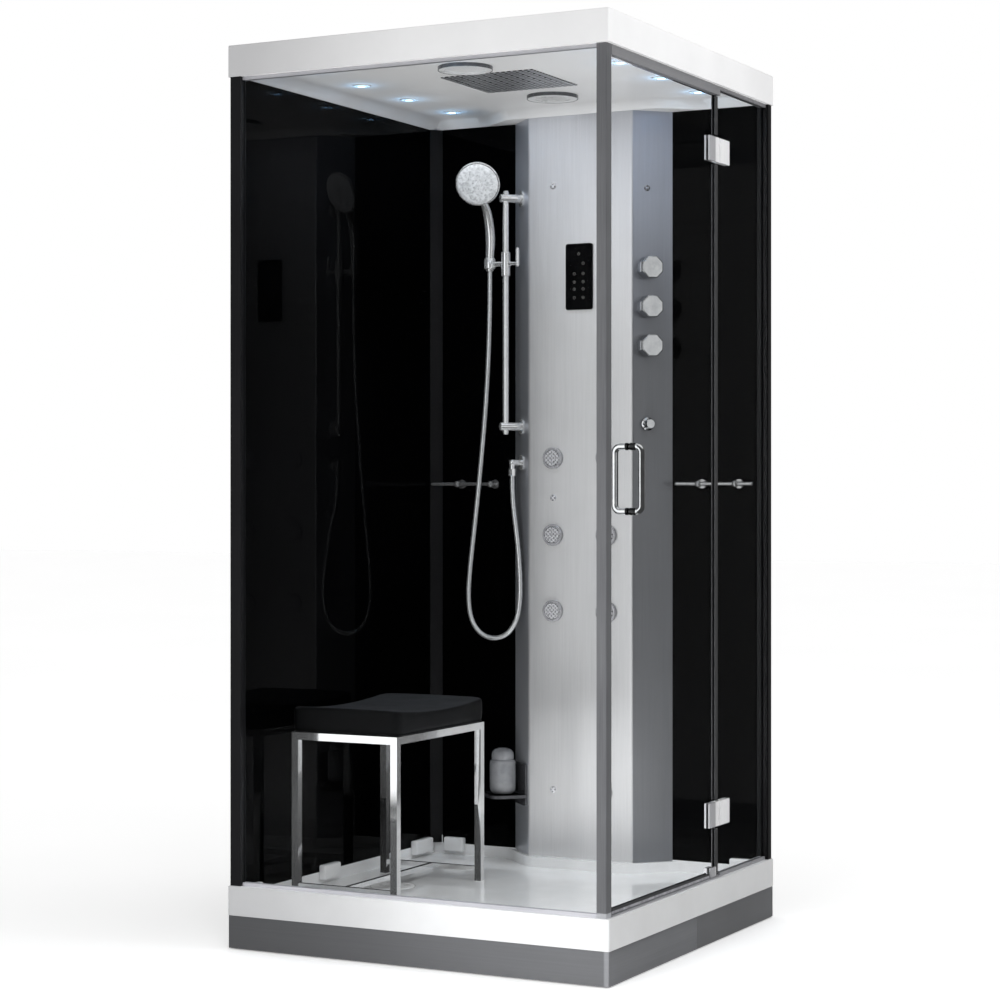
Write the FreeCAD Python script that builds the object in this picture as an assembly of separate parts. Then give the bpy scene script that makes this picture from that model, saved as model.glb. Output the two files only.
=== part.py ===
import FreeCAD, Part
import math
import os

V = FreeCAD.Vector
os.makedirs("parts", exist_ok=True)

# ---------------------------------------------------------------- driving dimensions (mm)
# Frame: X to the right along the front, Y to the back, Z up.
# Origin: centre of the footprint at floor level, under the middle foot.
W = 1000.0            # outside width and depth of tray and canopy
HALF = W / 2
H = 2150.0            # overall height
SKIRT_Z0, SKIRT_H = 2.0, 80.0
RIM_Z = 150.0         # top of the tray rim
FLOOR_Z = 100.0       # top of the tray floor
FLOOR_T = 10.0
LEDGE_Z = 130.0       # seat under the wall panels
PLINTH_Z = 127.0      # raised seat under the column
RIM_W = 45.0          # rim width on the two glass sides
WALL_X = -480.0       # inner face of the left wall
WALL_Y = 475.0        # inner face of the back wall
GT = 6.0              # glass thickness
GP = 480.0            # glass planes: y = -GP at the front, x = +GP at the side
CAN_Z = 2075.0        # underside of the canopy
CEIL_Z = 2100.0       # underside of the ceiling field
CEIL_T = 4.0
COL_F, COL_HW = 396.0, 150.0      # front face of the column and half its width
COL_BW = 229.0                    # half width of the column at the wall
SHEET = 2.0
PIV_X, PIV_Y = GP, 165.0          # door pivot line
HINGE_Z = (1920.0, 304.0)
DOOR_Z0, DOOR_Z1 = 160.0, 2050.0
DOOR_Y0, DOOR_Y1 = -455.0, PIV_Y - 5.5
HANDLE_Y, HANDLE_Z = -350.0, (1043.4, 1189.5)
BAR_OUT, BAR_IN, BAR_R = 511.3, 444.6, 7.5
DRAIN = (-300.0, -60.0)
WASTE_R, WASTE_Z = 20.0, 38.0
JET_X, JET_Z = 77.0, (1176.0, 974.0, 774.0)
KNOB_Z = (1667.0, 1566.0, 1465.0)
SMALL_KNOB_Z = 1263.0
SCREEN_Z = 1563.5                 # foot of the control panel
KNOB_AF, KNOB_L = 56.0, 43.0
RC = (179.0, 425.0)               # line of the controls on the right chamfer in plan
LC = (-189.5, 435.5)              # centre of the left chamfer in plan
RAIL_OFF, RAIL_R = 45.25, 8.0
RAIL = (LC[0] - RAIL_OFF * math.sqrt(0.5), LC[1] - RAIL_OFF * math.sqrt(0.5))
RAIL_Z = (1240.0, 1888.0)
BRACKET_Z = (1261.0, 1868.0)
SLIDER_Z = (1661.0, 1725.0)
ARM_Z = 1694.0
GRIP_X, GRIP_Y = RAIL[0] - 48.0, RAIL[1]
NUT_Z = 1676.0                    # underside of the hand shower's nut, where the hose starts
HEAD_C = (GRIP_X, 335.0, 1902.0)
HEAD_TILT = 22.0
HEAD_TURN = 20.0                  # the spray face looks a little towards the door
HEAD_R = 59.0
OUTLET_Z, OUTLET_OFF = 1165.0, 27.0
OUTLET = (LC[0] - OUTLET_OFF * math.sqrt(0.5), LC[1] - OUTLET_OFF * math.sqrt(0.5))
OUTLET_BOTTOM = 1130.0            # underside of the outlet's nut, where the hose ends
HOSE_R = 6.5
SHELF_Z = 285.0
FAN = (0.0, 235.0)
SPEAKER = (0.0, -235.0)
RAIN = (4.0, -12.0)
RAIN_S = 250.0
LIGHTS = [(x, y) for x in (-354.0, 354.0) for y in (-360.0, -123.0, 116.0, 348.0)] + [(5.0, -362.0)]
STOOL_X = (-424.5, -147.5)        # leg centres
STOOL_Y = (-312.0, 114.0)
STOOL_TOP, STOOL_T, TUBE = 569.0, 66.0, 18.0
INLET_R = 10.48                   # 1/2 inch pipe thread, outside radius
INLET_X, INLET_Z = 75.0, 1100.0

written = {}


def box(x0, y0, z0, x1, y1, z1):
    return Part.makeBox(x1 - x0, y1 - y0, z1 - z0, V(x0, y0, z0))


def cyl(p, d, r, h):
    return Part.makeCylinder(r, h, V(*p), V(*d))


def rod(a, b, r):
    a, b = V(*a), V(*b)
    return Part.makeCylinder(r, (b - a).Length, a, b - a)


def prism(pts, z0, z1):
    w = Part.makePolygon([V(x, y, z0) for x, y in pts] + [V(pts[0][0], pts[0][1], z0)])
    return Part.Face(w).extrude(V(0, 0, z1 - z0))


def revolve(profile):
    """Solid of revolution about Z from (radius, height) points."""
    w = Part.makePolygon([V(r, 0, z) for r, z in profile] + [V(profile[0][0], 0, profile[0][1])])
    return Part.Face(w).revolve(V(0, 0, 0), V(0, 0, 1), 360)


def moved(shape, x, y, z):
    s = shape.copy()
    s.translate(V(x, y, z))
    return s


def fuse(shapes):
    s = shapes[0].multiFuse(shapes[1:]) if len(shapes) > 1 else shapes[0]
    return s.removeSplitter()


def round_edges(shape, r, test):
    """Rounds the edges that the test picks, and keeps the sharp shape if that fails."""
    es = [e for e in shape.Edges if test(e)]
    if not es:
        return shape
    try:
        s = shape.makeFillet(r, es)
        if s.isValid() and s.Volume > 0:
            return s
    except Exception:
        pass
    return shape


def vertical(e):
    a, b = e.Vertexes[0].Point, e.Vertexes[-1].Point
    return abs(a.x - b.x) < 1e-6 and abs(a.y - b.y) < 1e-6 and abs(a.z - b.z) > 1e-3


def flat_at(z):
    return lambda e: all(abs(v.Point.z - z) < 1e-6 for v in e.Vertexes)


def along(shape, axis_from, origin):
    """Turns a shape built on +Z so that +Z points along axis_from, then moves it to origin."""
    s = shape.copy()
    s.Placement = FreeCAD.Placement(V(*origin), FreeCAD.Rotation(V(0, 0, 1), V(*axis_from)))
    return s


def on_chamfer(shape, right):
    """Moves a shape built with +Y outwards from (0, 0) to the middle of a chamfer."""
    s = shape.copy()
    s.rotate(V(0, 0, 0), V(0, 0, 1), -135 if right else 135)
    c = RC if right else LC
    s.translate(V(c[0], c[1], 0))
    return s


def save(node, shapes):
    shapes = shapes if isinstance(shapes, list) else [shapes]
    solids = [q for s in shapes for q in s.Solids]
    for q in solids:
        assert q.isValid(), node
    out = solids[0] if len(solids) == 1 else Part.makeCompound(solids)
    out.exportStep("parts/%s.step" % node)
    b = out.BoundBox
    written[node] = out
    print("%-20s %3d solids  x %8.1f %8.1f  y %8.1f %8.1f  z %8.1f %8.1f  %9.1f cm3" % (
        node, len(solids), b.XMin, b.XMax, b.YMin, b.YMax, b.ZMin, b.ZMax, out.Volume / 1000))


# ---------------------------------------------------------------- base
feet = []
for x, y in ((-430, -438), (430, -438), (-430, 438), (430, 438), (0, 0)):
    pad = revolve([(0, 0), (29, 0), (30, 1.5), (30, 6), (14, 10), (0, 10)])
    stem = cyl((0, 0, 8), (0, 0, 1), 6, 52)
    nut = prism([(15 * math.cos(math.radians(60 * k)), 15 * math.sin(math.radians(60 * k))) for k in range(6)], 44, 56)
    f = fuse([pad, stem, nut])
    f.translate(V(x, y, 0))
    feet.append(f)
save("levelling_feet", feet)


def square_tube(p0, p1, s, t, axis):
    """Open-ended square tube between two opposite corners, hollow along the axis."""
    outer = box(*p0, *p1)
    q0, q1 = list(p0), list(p1)
    for i in range(3):
        if i != axis:
            q0[i] += t
            q1[i] -= t
        else:
            q0[i] -= 1
            q1[i] += 1
    return outer.cut(box(*q0, *q1))


FZ0, FZ1 = 60.0, 90.0
frame = [square_tube((-485, y - 15, FZ0), (485, y + 15, FZ1), 30, 2, 0) for y in (-445, 445)]
frame += [square_tube((x - 15, -430, FZ0), (x + 15, 430, FZ1), 30, 2, 1) for x in (-430, 0, 430)]
frame += [square_tube((x0, 185, FZ0), (x1, 215, FZ1), 30, 2, 0) for x0, x1 in ((-415, -15), (15, 415))]
save("base_frame", frame)

SK = HALF - 2
back_skirt = box(-SK, SK - 3, SKIRT_Z0, SK, SK, SKIRT_H).cut(cyl((DRAIN[0], SK - 5, WASTE_Z), (0, 1, 0), WASTE_R + 3, 10))
save("skirt_panels", [
    box(-SK, -SK, SKIRT_Z0, SK, -SK + 3, SKIRT_H),
    back_skirt,
    box(-SK, -SK + 3, SKIRT_Z0, -SK + 3, SK - 3, SKIRT_H),
    box(SK - 3, -SK + 3, SKIRT_Z0, SK, SK - 3, SKIRT_H)])

# tray: shell with a basin, a seat for the walls and a raised plinth round the column foot
tray = box(-HALF, -HALF, SKIRT_H, HALF, HALF, RIM_Z)
tray = round_edges(tray, 5, vertical)
tray = round_edges(tray, 3, flat_at(RIM_Z))
plinth = [(-268, WALL_Y), (-244, 469), (-224, 453), (-163, 391), (-147, 378), (-126, 372)]
plinth = plinth + [(-x, y) for x, y in reversed(plinth)]
BX0, BX1, BY0, BY1 = WALL_X, HALF - RIM_W, -(HALF - RIM_W), WALL_Y
basin = box(BX0, BY0, FLOOR_Z, BX1, BY1, RIM_Z + 1)
basin = round_edges(basin, 22, lambda e: vertical(e) and e.Vertexes[0].Point.y < 0)
basin = basin.cut(prism(plinth, FLOOR_Z - 1, PLINTH_Z))
lugs = [box(BX0, -BX, 112, BX0 + 20, -BX + w, 148) for BX, w in ((448, 46), (122, 78))]
lugs += [box(BX0, 345, 112, BX0 + 20, 438, 148), box(-440, BY1 - 20, 112, -380, BY1, 148), box(394, BY1 - 20, 112, BX1, BY1, 148)]
lugs = [round_edges(l, 5, lambda e: flat_at(148)(e) or vertical(e)) for l in lugs]
corner = [(-494, 494), (-494, 452), (-478, 452), (-452, 478), (-452, 494)]
tray = tray.cut(basin)
tray = tray.cut(box(WALL_X - GT, -474, LEDGE_Z, WALL_X + 0.01, 452, RIM_Z + 1))
tray = tray.cut(box(-452, WALL_Y - 0.01, LEDGE_Z, 466, WALL_Y + GT, RIM_Z + 1))
tray = tray.cut(prism(corner, LEDGE_Z, RIM_Z + 1))
tray = tray.cut(box(-494, -494, SKIRT_H - 1, 494, 494, FLOOR_Z - FLOOR_T))
tray = tray.cut(box(-476, -494, FLOOR_Z - FLOOR_T - 1, 494, -461, RIM_Z - 6))
tray = tray.cut(box(461, -494, FLOOR_Z - FLOOR_T - 1, 494, 462, RIM_Z - 6))
tray = tray.cut(prism([(-215, 466), (-150, 400), (-138, 388), (138, 388), (150, 400), (215, 466)], FLOOR_Z - FLOOR_T - 1, PLINTH_Z - 7))
tray = tray.cut(cyl((DRAIN[0], DRAIN[1], 80), (0, 0, 1), 42, 30))
tray = tray.cut(cyl((DRAIN[0], DRAIN[1], 97), (0, 0, 1), 56, 10))
tray = fuse([tray] + lugs)
save("shower_tray", tray)

trap = revolve([(0, 30), (50, 30), (54, 34), (54, 90), (41.6, 90), (41.6, 97), (38, 97), (38, 86), (50, 86), (50, 36), (0, 36)])
trap.translate(V(DRAIN[0], DRAIN[1], 0))
pipe = cyl((DRAIN[0], DRAIN[1] + 40, WASTE_Z), (0, 1, 0), WASTE_R - 0.8, 474 - DRAIN[1] - 40)
pipe = pipe.fuse(cyl((DRAIN[0], 471, WASTE_Z), (0, 1, 0), WASTE_R, 26)).removeSplitter()
bore = cyl((DRAIN[0], DRAIN[1], WASTE_Z + 0.5), (0, 1, 0), WASTE_R - 3, 600)
cavity = cyl((DRAIN[0], DRAIN[1], 36), (0, 0, 1), 50, 40)
trap = fuse([trap, pipe.cut(cavity)]).cut(bore)
save("waste_trap", trap)

cover = revolve([(0, 97.6), (30, 97.6), (30, 90), (37.2, 90), (37.2, 97.1), (55, 97.1), (55, 100), (53, 101.5), (0, 101.5)])
for k in range(8):
    a = math.radians(45 * k)
    cover = cover.cut(cyl((20 * math.cos(a), 20 * math.sin(a), 88), (0, 0, 1), 4, 20))
cover.translate(V(DRAIN[0], DRAIN[1], 0))
save("drain_cover", cover)

# ---------------------------------------------------------------- walls, profiles and fixed glass
save("left_wall_panel", box(WALL_X - GT, -474, LEDGE_Z, WALL_X, 452, CAN_Z))
save("back_wall_panels", [
    box(-452, WALL_Y, LEDGE_Z, -215, WALL_Y + GT, CAN_Z),
    box(215, WALL_Y, LEDGE_Z, 466, WALL_Y + GT, CAN_Z)])

front_left = prism([(-496, -496), (-466, -496), (-466, -483), (-466, -477), (-466, -474), (-496, -474)], RIM_Z, CAN_Z)
front_left = round_edges(front_left, 3, lambda e: vertical(e) and e.Vertexes[0].Point.x < -490 and e.Vertexes[0].Point.y < -490)
back_left = prism(corner, LEDGE_Z, CAN_Z)
back_right = prism([(466, 470), (496, 470), (496, 496), (466, 496)], RIM_Z, CAN_Z)
back_right = round_edges(back_right, 3, lambda e: vertical(e) and e.Vertexes[0].Point.x > 490)
save("wall_profiles", [front_left, back_left, back_right])

post = prism([(466, -492), (490, -492), (490, -464), (484, -464), (484, -470), (476, -470), (476, -464), (466, -464)], RIM_Z, CAN_Z)
post = round_edges(post, 2.5, lambda e: vertical(e) and e.Vertexes[0].Point.x > 489)
save("corner_post", post)

save("front_glass", box(-466, -GP - GT / 2, RIM_Z + 4, 466, -GP + GT / 2, CAN_Z - 4))

side = box(GP - GT / 2, PIV_Y + 4, RIM_Z + 4, GP + GT / 2, 470, CAN_Z - 4)
for z in HINGE_Z:
    side = side.cut(box(GP - 10, PIV_Y, z - 34, GP + 10, PIV_Y + 38, z + 34))
save("side_glass", side)

front_head = box(-466, -487, CAN_Z - 8, 466, -473, CAN_Z).cut(box(-470, -GP - GT / 2, CAN_Z - 10, 470, -GP + GT / 2, CAN_Z - 4))
front_sill = box(-466, -487, RIM_Z, 466, -473, RIM_Z + 8).cut(box(-470, -GP - GT / 2, RIM_Z + 4, 470, -GP + GT / 2, RIM_Z + 10))
side_head = fuse([box(472, -464, CAN_Z - 22, 490, PIV_Y, CAN_Z), box(472, PIV_Y, CAN_Z - 8, 490, 470, CAN_Z)])
side_head = side_head.cut(box(GP - GT / 2, PIV_Y + 4, CAN_Z - 10, GP + GT / 2, 480, CAN_Z - 4))
side_sill = fuse([box(468, -464, RIM_Z, 492, PIV_Y + 4, RIM_Z + 3), box(472, PIV_Y + 4, RIM_Z, 488, 470, RIM_Z + 8)])
side_sill = side_sill.cut(box(GP - GT / 2, PIV_Y + 4, RIM_Z + 4, GP + GT / 2, 480, RIM_Z + 12))
save("frame_rails", [front_head, front_sill, side_head, side_sill])

# ---------------------------------------------------------------- canopy and ceiling
canopy = box(-HALF, -HALF, CAN_Z, HALF, HALF, H)
canopy = round_edges(canopy, 5, vertical)
canopy = round_edges(canopy, 3, flat_at(H))
canopy = canopy.cut(box(-494, -494, CAN_Z - 1, 494, 494, H - 6))
canopy = canopy.cut(cyl((FAN[0], FAN[1], 2100), (0, 0, 1), 52.5, 100))
save("canopy_shell", canopy)

low = [(-475, -473), (475, -473), (475, 473), (336, 473), (300, 462), (222, 398), (205, 393), (-205, 393), (-222, 398), (-300, 462), (-336, 473), (-475, 473)]
high = [(-440, -448), (440, -448), (440, 438), (322, 438), (286, 428), (212, 364), (196, 358), (-196, 358), (-212, 364), (-286, 428), (-322, 438), (-440, 438)]


def loop(pts, z):
    return Part.makePolygon([V(x, y, z) for x, y in pts] + [V(pts[0][0], pts[0][1], z)])


def grown(pts, d):
    """Counter-clockwise polygon moved outwards by d."""
    out, n = [], len(pts)
    for i in range(n):
        (ax, ay), (bx, by), (cx, cy) = pts[i - 1], pts[i], pts[(i + 1) % n]
        ux, uy = bx - ax, by - ay
        wx, wy = cx - bx, cy - by
        lu, lw = math.hypot(ux, uy), math.hypot(wx, wy)
        ux, uy, wx, wy = ux / lu, uy / lu, wx / lw, wy / lw
        k = d / (1 + ux * wx + uy * wy)
        out.append((bx + (uy + wy) * k, by - (ux + wx) * k))
    return out


pocket = Part.makeLoft([loop(low, CAN_Z), loop(high, CEIL_Z)], True, True)
hull = Part.makeLoft([loop(grown(low, 4), CAN_Z), loop(grown(high, 4), CEIL_Z + CEIL_T)], True, True)
ceiling = box(-494, -494, CAN_Z, 494, 494, CAN_Z + 4).fuse(hull)
ceiling = ceiling.removeSplitter().cut(pocket)
ceiling = ceiling.cut(box(-140, 408, CAN_Z - 1, 140, 466, CEIL_Z + 10))
for x, y in LIGHTS:
    ceiling = ceiling.cut(cyl((x, y, CEIL_Z - 5), (0, 0, 1), 18, 20))
ceiling = ceiling.cut(cyl((FAN[0], FAN[1], CEIL_Z - 5), (0, 0, 1), 52.5, 20))
ceiling = ceiling.cut(cyl((SPEAKER[0], SPEAKER[1], CEIL_Z - 5), (0, 0, 1), 48, 20))
ceiling = ceiling.cut(box(RAIN[0] - RAIN_S / 2, RAIN[1] - RAIN_S / 2, CEIL_Z - 5, RAIN[0] + RAIN_S / 2, RAIN[1] + RAIN_S / 2, CEIL_Z + 10))
field = ceiling.common(prism(high, CEIL_Z - 1, CEIL_Z + 20))
border = ceiling.cut(prism(high, CEIL_Z - 1, CEIL_Z + 20))
save("ceiling_panel", [border, field])

head = box(RAIN[0] - RAIN_S / 2, RAIN[1] - RAIN_S / 2, CEIL_Z - 2, RAIN[0] + RAIN_S / 2, RAIN[1] + RAIN_S / 2, CEIL_Z + 8)
head = head.cut(box(RAIN[0] - RAIN_S / 2 + 4, RAIN[1] - RAIN_S / 2 + 4, CEIL_Z + 1, RAIN[0] + RAIN_S / 2 - 4, RAIN[1] + RAIN_S / 2 - 4, CEIL_Z + 5))
boss = cyl((RAIN[0], RAIN[1], CEIL_Z + 8), (0, 0, 1), 14, 12)
nubs = [cyl((RAIN[0] - 105 + 30 * i, RAIN[1] - 105 + 30 * j, CEIL_Z - 3.2), (0, 0, 1), 3.0, 1.7) for i in range(8) for j in range(8)]
save("rain_head", fuse([head, boss] + nubs))

spk_cover = revolve([(0, CEIL_Z - 6), (50, CEIL_Z - 6), (50, CEIL_Z - 9), (63, CEIL_Z - 9), (65, CEIL_Z - 7), (65, CEIL_Z), (0, CEIL_Z)])
spk = revolve([(0, CEIL_Z + 12), (14, CEIL_Z + 12), (44, CEIL_Z), (47, CEIL_Z), (47, CEIL_Z + 5), (22, CEIL_Z + 22), (22, CEIL_Z + 38), (0, CEIL_Z + 38)])
for s in (spk_cover, spk):
    s.translate(V(SPEAKER[0], SPEAKER[1], 0))
save("ceiling_speaker", [spk_cover, spk])

fan_cover = revolve([(0, CEIL_Z - 6), (46, CEIL_Z - 6), (46, CEIL_Z - 9), (63, CEIL_Z - 9), (65, CEIL_Z - 7), (65, CEIL_Z), (46, CEIL_Z), (46, CEIL_Z - 3), (0, CEIL_Z - 3)])
for k in range(-3, 4):
    half = math.sqrt(38 ** 2 - (k * 10) ** 2)
    fan_cover = fan_cover.cut(box(-half, k * 10 - 2.5, CEIL_Z - 12, half, k * 10 + 2.5, CEIL_Z - 1))
fan_cover.translate(V(FAN[0], FAN[1], 0))
save("fan_cover", fan_cover)

fan_tube = revolve([(49, CEIL_Z), (52, CEIL_Z), (52, H - 0.5), (49, H - 0.5)])
motor = cyl((0, 0, CEIL_Z + 28), (0, 0, 1), 19, 16)
arms = [box(18, -3, CEIL_Z + 36, 50, 3, CEIL_Z + 42) for _ in range(3)]
for k, a in enumerate(arms):
    a.rotate(V(0, 0, 0), V(0, 0, 1), 120 * k)
fan_housing = fuse([fan_tube, motor] + arms).cut(cyl((0, 0, CEIL_Z + 20), (0, 0, 1), 3.05, 20))
fan_housing.translate(V(FAN[0], FAN[1], 0))
save("fan_housing", fan_housing)

hub = cyl((0, 0, CEIL_Z + 6), (0, 0, 1), 16, 20)
blades = []
for k in range(7):
    b = box(14, -1.2, -9, 45, 1.2, 9)
    b.rotate(V(0, 0, 0), V(1, 0, 0), 35)
    b.translate(V(0, 0, CEIL_Z + 16))
    b.rotate(V(0, 0, 0), V(0, 0, 1), k * 360 / 7)
    blades.append(b)
shaft = cyl((0, 0, CEIL_Z + 26), (0, 0, 1), 3, 12)
fan = fuse([hub, shaft] + blades)
fan.translate(V(FAN[0], FAN[1], 0))
save("fan_impeller", fan)

lights = []
for x, y in LIGHTS:
    bezel = revolve([(15.2, CEIL_Z - 2.5), (22, CEIL_Z - 2.5), (23, CEIL_Z - 1.5), (23, CEIL_Z), (17.8, CEIL_Z), (17.8, CEIL_Z + 14), (15.2, CEIL_Z + 14)])
    lens = revolve([(0, CEIL_Z - 3), (12, CEIL_Z - 3), (15.2, CEIL_Z - 1), (15.2, CEIL_Z + 3), (0, CEIL_Z + 3)])
    for s in (bezel, lens):
        s.translate(V(x, y, 0))
        lights.append(s)
save("ceiling_lights", lights)

control_box = round_edges(box(210, 180, CEIL_Z + CEIL_T, 370, 290, CEIL_Z + CEIL_T + 34), 4, vertical)
control_box = fuse([control_box, cyl((205, 215, CEIL_Z + 20), (1, 0, 0), 6, 8), cyl((205, 255, CEIL_Z + 20), (1, 0, 0), 6, 8)])
save("control_box", control_box)

# ---------------------------------------------------------------- column
ki = math.sqrt(2) - 1
outer = [(-COL_BW, WALL_Y), (-COL_HW, COL_F), (COL_HW, COL_F), (COL_BW, WALL_Y)]
inner = [(COL_BW - SHEET * math.sqrt(2), WALL_Y), (COL_HW - SHEET * ki, COL_F + SHEET), (-COL_HW + SHEET * ki, COL_F + SHEET), (-COL_BW + SHEET * math.sqrt(2), WALL_Y)]
column = prism(outer + inner, PLINTH_Z, CAN_Z)
column = round_edges(column, 12, lambda e: vertical(e) and abs(e.Vertexes[0].Point.y - COL_F) < 1e-6)
for z in JET_Z:
    for x in (-JET_X, JET_X):
        column = column.cut(cyl((x, COL_F - 5, z), (0, 1, 0), 25, 12))
column = column.cut(box(-31, COL_F - 5, SCREEN_Z + 11, 31, COL_F + 6, SCREEN_Z + 162))
column = column.cut(cyl((JET_X, COL_F - 5, 304), (0, 1, 0), 11, 12))


def stem_hole(z, r, right):
    return on_chamfer(cyl((0, -8, z), (0, 1, 0), r, 16), right)


for z in KNOB_Z:
    column = column.cut(stem_hole(z, 6.5, True))
column = column.cut(stem_hole(SMALL_KNOB_Z, 6.5, True))
column = column.cut(stem_hole(OUTLET_Z, 9.5, False))
save("column_panel", column)

back = box(-214.8, WALL_Y, PLINTH_Z + 4, 214.8, WALL_Y + SHEET, CAN_Z)
for x in (-INLET_X, INLET_X):
    back = back.cut(cyl((x, WALL_Y - 5, INLET_Z), (0, 1, 0), INLET_R + 2, 20))
back = back.cut(cyl((0, WALL_Y - 5, 1950), (0, 1, 0), 9, 20))
for z in (300, 800, 1300, 1800):
    for x in (-195, 195):
        back = back.cut(cyl((x, WALL_Y - 5, z), (0, 1, 0), 2.2, 20))
save("column_back", back)

screen = box(-38, COL_F - 6, SCREEN_Z, 38, COL_F, SCREEN_Z + 173)
screen = round_edges(screen, 6, lambda e: abs(e.Vertexes[0].Point.x - e.Vertexes[-1].Point.x) < 1e-6 and abs(e.Vertexes[0].Point.z - e.Vertexes[-1].Point.z) < 1e-6)
screen = fuse([screen, box(-30, COL_F, SCREEN_Z + 12, 30, COL_F + 22, SCREEN_Z + 161)])
save("control_panel", screen)

bezels, jets = [], {}
for z in JET_Z:
    for x in (-JET_X, JET_X):
        ring = revolve([(22.06, -9), (26.5, -9), (28.5, -6.5), (28.5, 0), (24.8, 0), (24.8, 16), (10, 16), (10, 14), (22.06, 14)])
        ring = along(ring, (0, 1, 0), (x, COL_F, z))
        bezels.append(ring)
        ball = Part.makeSphere(22, V(0, 0, 0)).common(box(-30, -30, -9, 30, 30, 9))
        face = ball.cut(cyl((0, 0, -9.5), (0, 0, 1), 4.0, 2.5))
        for k in range(8):
            a = math.radians(45 * k)
            face = face.cut(cyl((12.5 * math.cos(a), 12.5 * math.sin(a), -9.5), (0, 0, 1), 2.2, 2.5))
        name = "jet_%s_%s" % ({JET_Z[0]: "upper", JET_Z[1]: "middle", JET_Z[2]: "lower"}[z], "left" if x < 0 else "right")
        jets[name] = along(face, (0, 1, 0), (x, COL_F - 2, z))
save("jet_bezels", bezels)
for name, s in jets.items():
    save(name, s)


# valve bodies, manifold and pipes behind the panel
def valve(z, r, depth, bore_r):
    return on_chamfer(cyl((0, -depth, z), (0, 1, 0), r, depth - 3), True), on_chamfer(cyl((0, -19, z), (0, 1, 0), bore_r, 20), True)


d45 = math.sqrt(0.5)
mx, my = RC[0] - 16 * d45, RC[1] + 16 * d45
parts, bores = [cyl((mx, my, 1435), (0, 0, 1), 10, 262)], []
for z in KNOB_Z:
    b, h = valve(z, 15, 27, 5.06)
    parts.append(b)
    bores.append(h)
b, h = valve(SMALL_KNOB_Z, 12, 25, 4.06)
bores.append(h)
parts += [b, rod((mx, my, SMALL_KNOB_Z), (mx, my, 1440), 6)]


def pipe(points, r):
    """Round pipe through the points, with a ball at each bend."""
    out = [rod(points[i], points[i + 1], r) for i in range(len(points) - 1)]
    return out + [Part.makeSphere(r, V(*q)) for q in points[1:-1]]


RZ = CEIL_Z + 28
parts += pipe([(mx, my, 1640), (75, 440, 1640), (75, 440, RZ), (75, 90, RZ), (RAIN[0], RAIN[1], RZ), (RAIN[0], RAIN[1], CEIL_Z + 20)], 7)
parts += pipe([(mx, my, SMALL_KNOB_Z), (JET_X, 440, 1233), (-JET_X, 440, 1233), (-JET_X, 440, 760)], 7)
parts += pipe([(JET_X, 440, 1233), (JET_X, 440, 760)], 7)
for x in (-JET_X, JET_X):
    for z in JET_Z:
        parts += [rod((x, COL_F + 16, z), (x, 440, z), 6), cyl((x, COL_F + 16, z), (0, 1, 0), 13, 3)]
ox, oy = LC[0] + 14 * d45, LC[1] + 14 * d45
parts += pipe([(-JET_X, 440, OUTLET_Z), (ox, oy, OUTLET_Z), (LC[0] + 3.5 * d45, LC[1] + 3.5 * d45, OUTLET_Z)], 6)
feeds = []
for x, ztop in ((INLET_X, 1500), (-INLET_X, 1545)):
    line = [cyl((x, 463, INLET_Z), (0, 1, 0), INLET_R - 1.5, 14), cyl((x, 477, INLET_Z), (0, 1, 0), INLET_R, 20)]
    line += pipe([(x, 463, INLET_Z), (x, 463, ztop), (150, 463, ztop), (mx, my, ztop)], 6)
    if x < 0:
        line.append(rod((x, 463, INLET_Z), (x, 463, 1080), 6))
    feeds.append(fuse(line))
manifold = fuse(parts)
for h in bores:
    manifold = manifold.cut(h)
save("plumbing", [manifold] + [max(q.cut(manifold).Solids, key=lambda t: t.Volume) for q in feeds])

# knobs: octagonal cups on spindles
R8 = KNOB_AF / 2 / math.cos(math.radians(22.5))


def octagon(r, turn=22.5):
    return [(r * math.cos(math.radians(turn + 45 * k)), r * math.sin(math.radians(turn + 45 * k))) for k in range(8)]


def big_knob():
    body = prism(octagon(R8), 1.5, KNOB_L)
    body = round_edges(body, 2.5, flat_at(KNOB_L))
    body = body.cut(cyl((0, 0, 1), (0, 0, 1), 22.5, KNOB_L - 8))
    return fuse([body, cyl((0, 0, -18), (0, 0, 1), 5, KNOB_L + 12)])


def small_knob():
    body = revolve([(0, 1.5), (17, 1.5), (17, 7), (13, 10), (13, 24), (11, 27), (0, 27)])
    body = fuse([body, cyl((0, 0, 16), (1, 0, 0), 3.6, 17)])
    return fuse([body, cyl((0, 0, -18), (0, 0, 1), 4, 21)])


for name, z, s in (("temperature_knob", KNOB_Z[0], big_knob()), ("flow_knob", KNOB_Z[1], big_knob()), ("diverter_knob", KNOB_Z[2], big_knob()), ("jet_valve_knob", SMALL_KNOB_Z, small_knob())):
    t = along(s, (0, 1, 0), (0, 0, z))
    save(name, on_chamfer(t, True))

caps = []
for x, z in ((-JET_X, 1892), (-JET_X, 1072), (-JET_X, 304), (JET_X, 1892), (JET_X, 1072)):
    caps.append(along(revolve([(0, 0), (9, 0), (9, 2), (6.5, 4.2), (0, 5.2)]), (0, -1, 0), (x, COL_F, z)))
caps.append(on_chamfer(along(revolve([(0, 0), (8, 0), (8, 2), (5.5, 4), (0, 5)]), (0, 1, 0), (0, 0, 1875)), True))
save("screw_caps", caps)

generator = round_edges(box(-60, 414, 400, 60, WALL_Y, 640), 5, vertical)
feed = pipe([(-INLET_X, 463, 1080), (-INLET_X, 463, 670), (-45, 456, 670), (-45, 456, 636)], 5)
steam_pipe = pipe([(40, 440, 404), (40, 440, 330), (JET_X, 440, 304), (JET_X, COL_F + 10, 304)], 9)
save("steam_generator", fuse([generator] + feed + steam_pipe))

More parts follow.
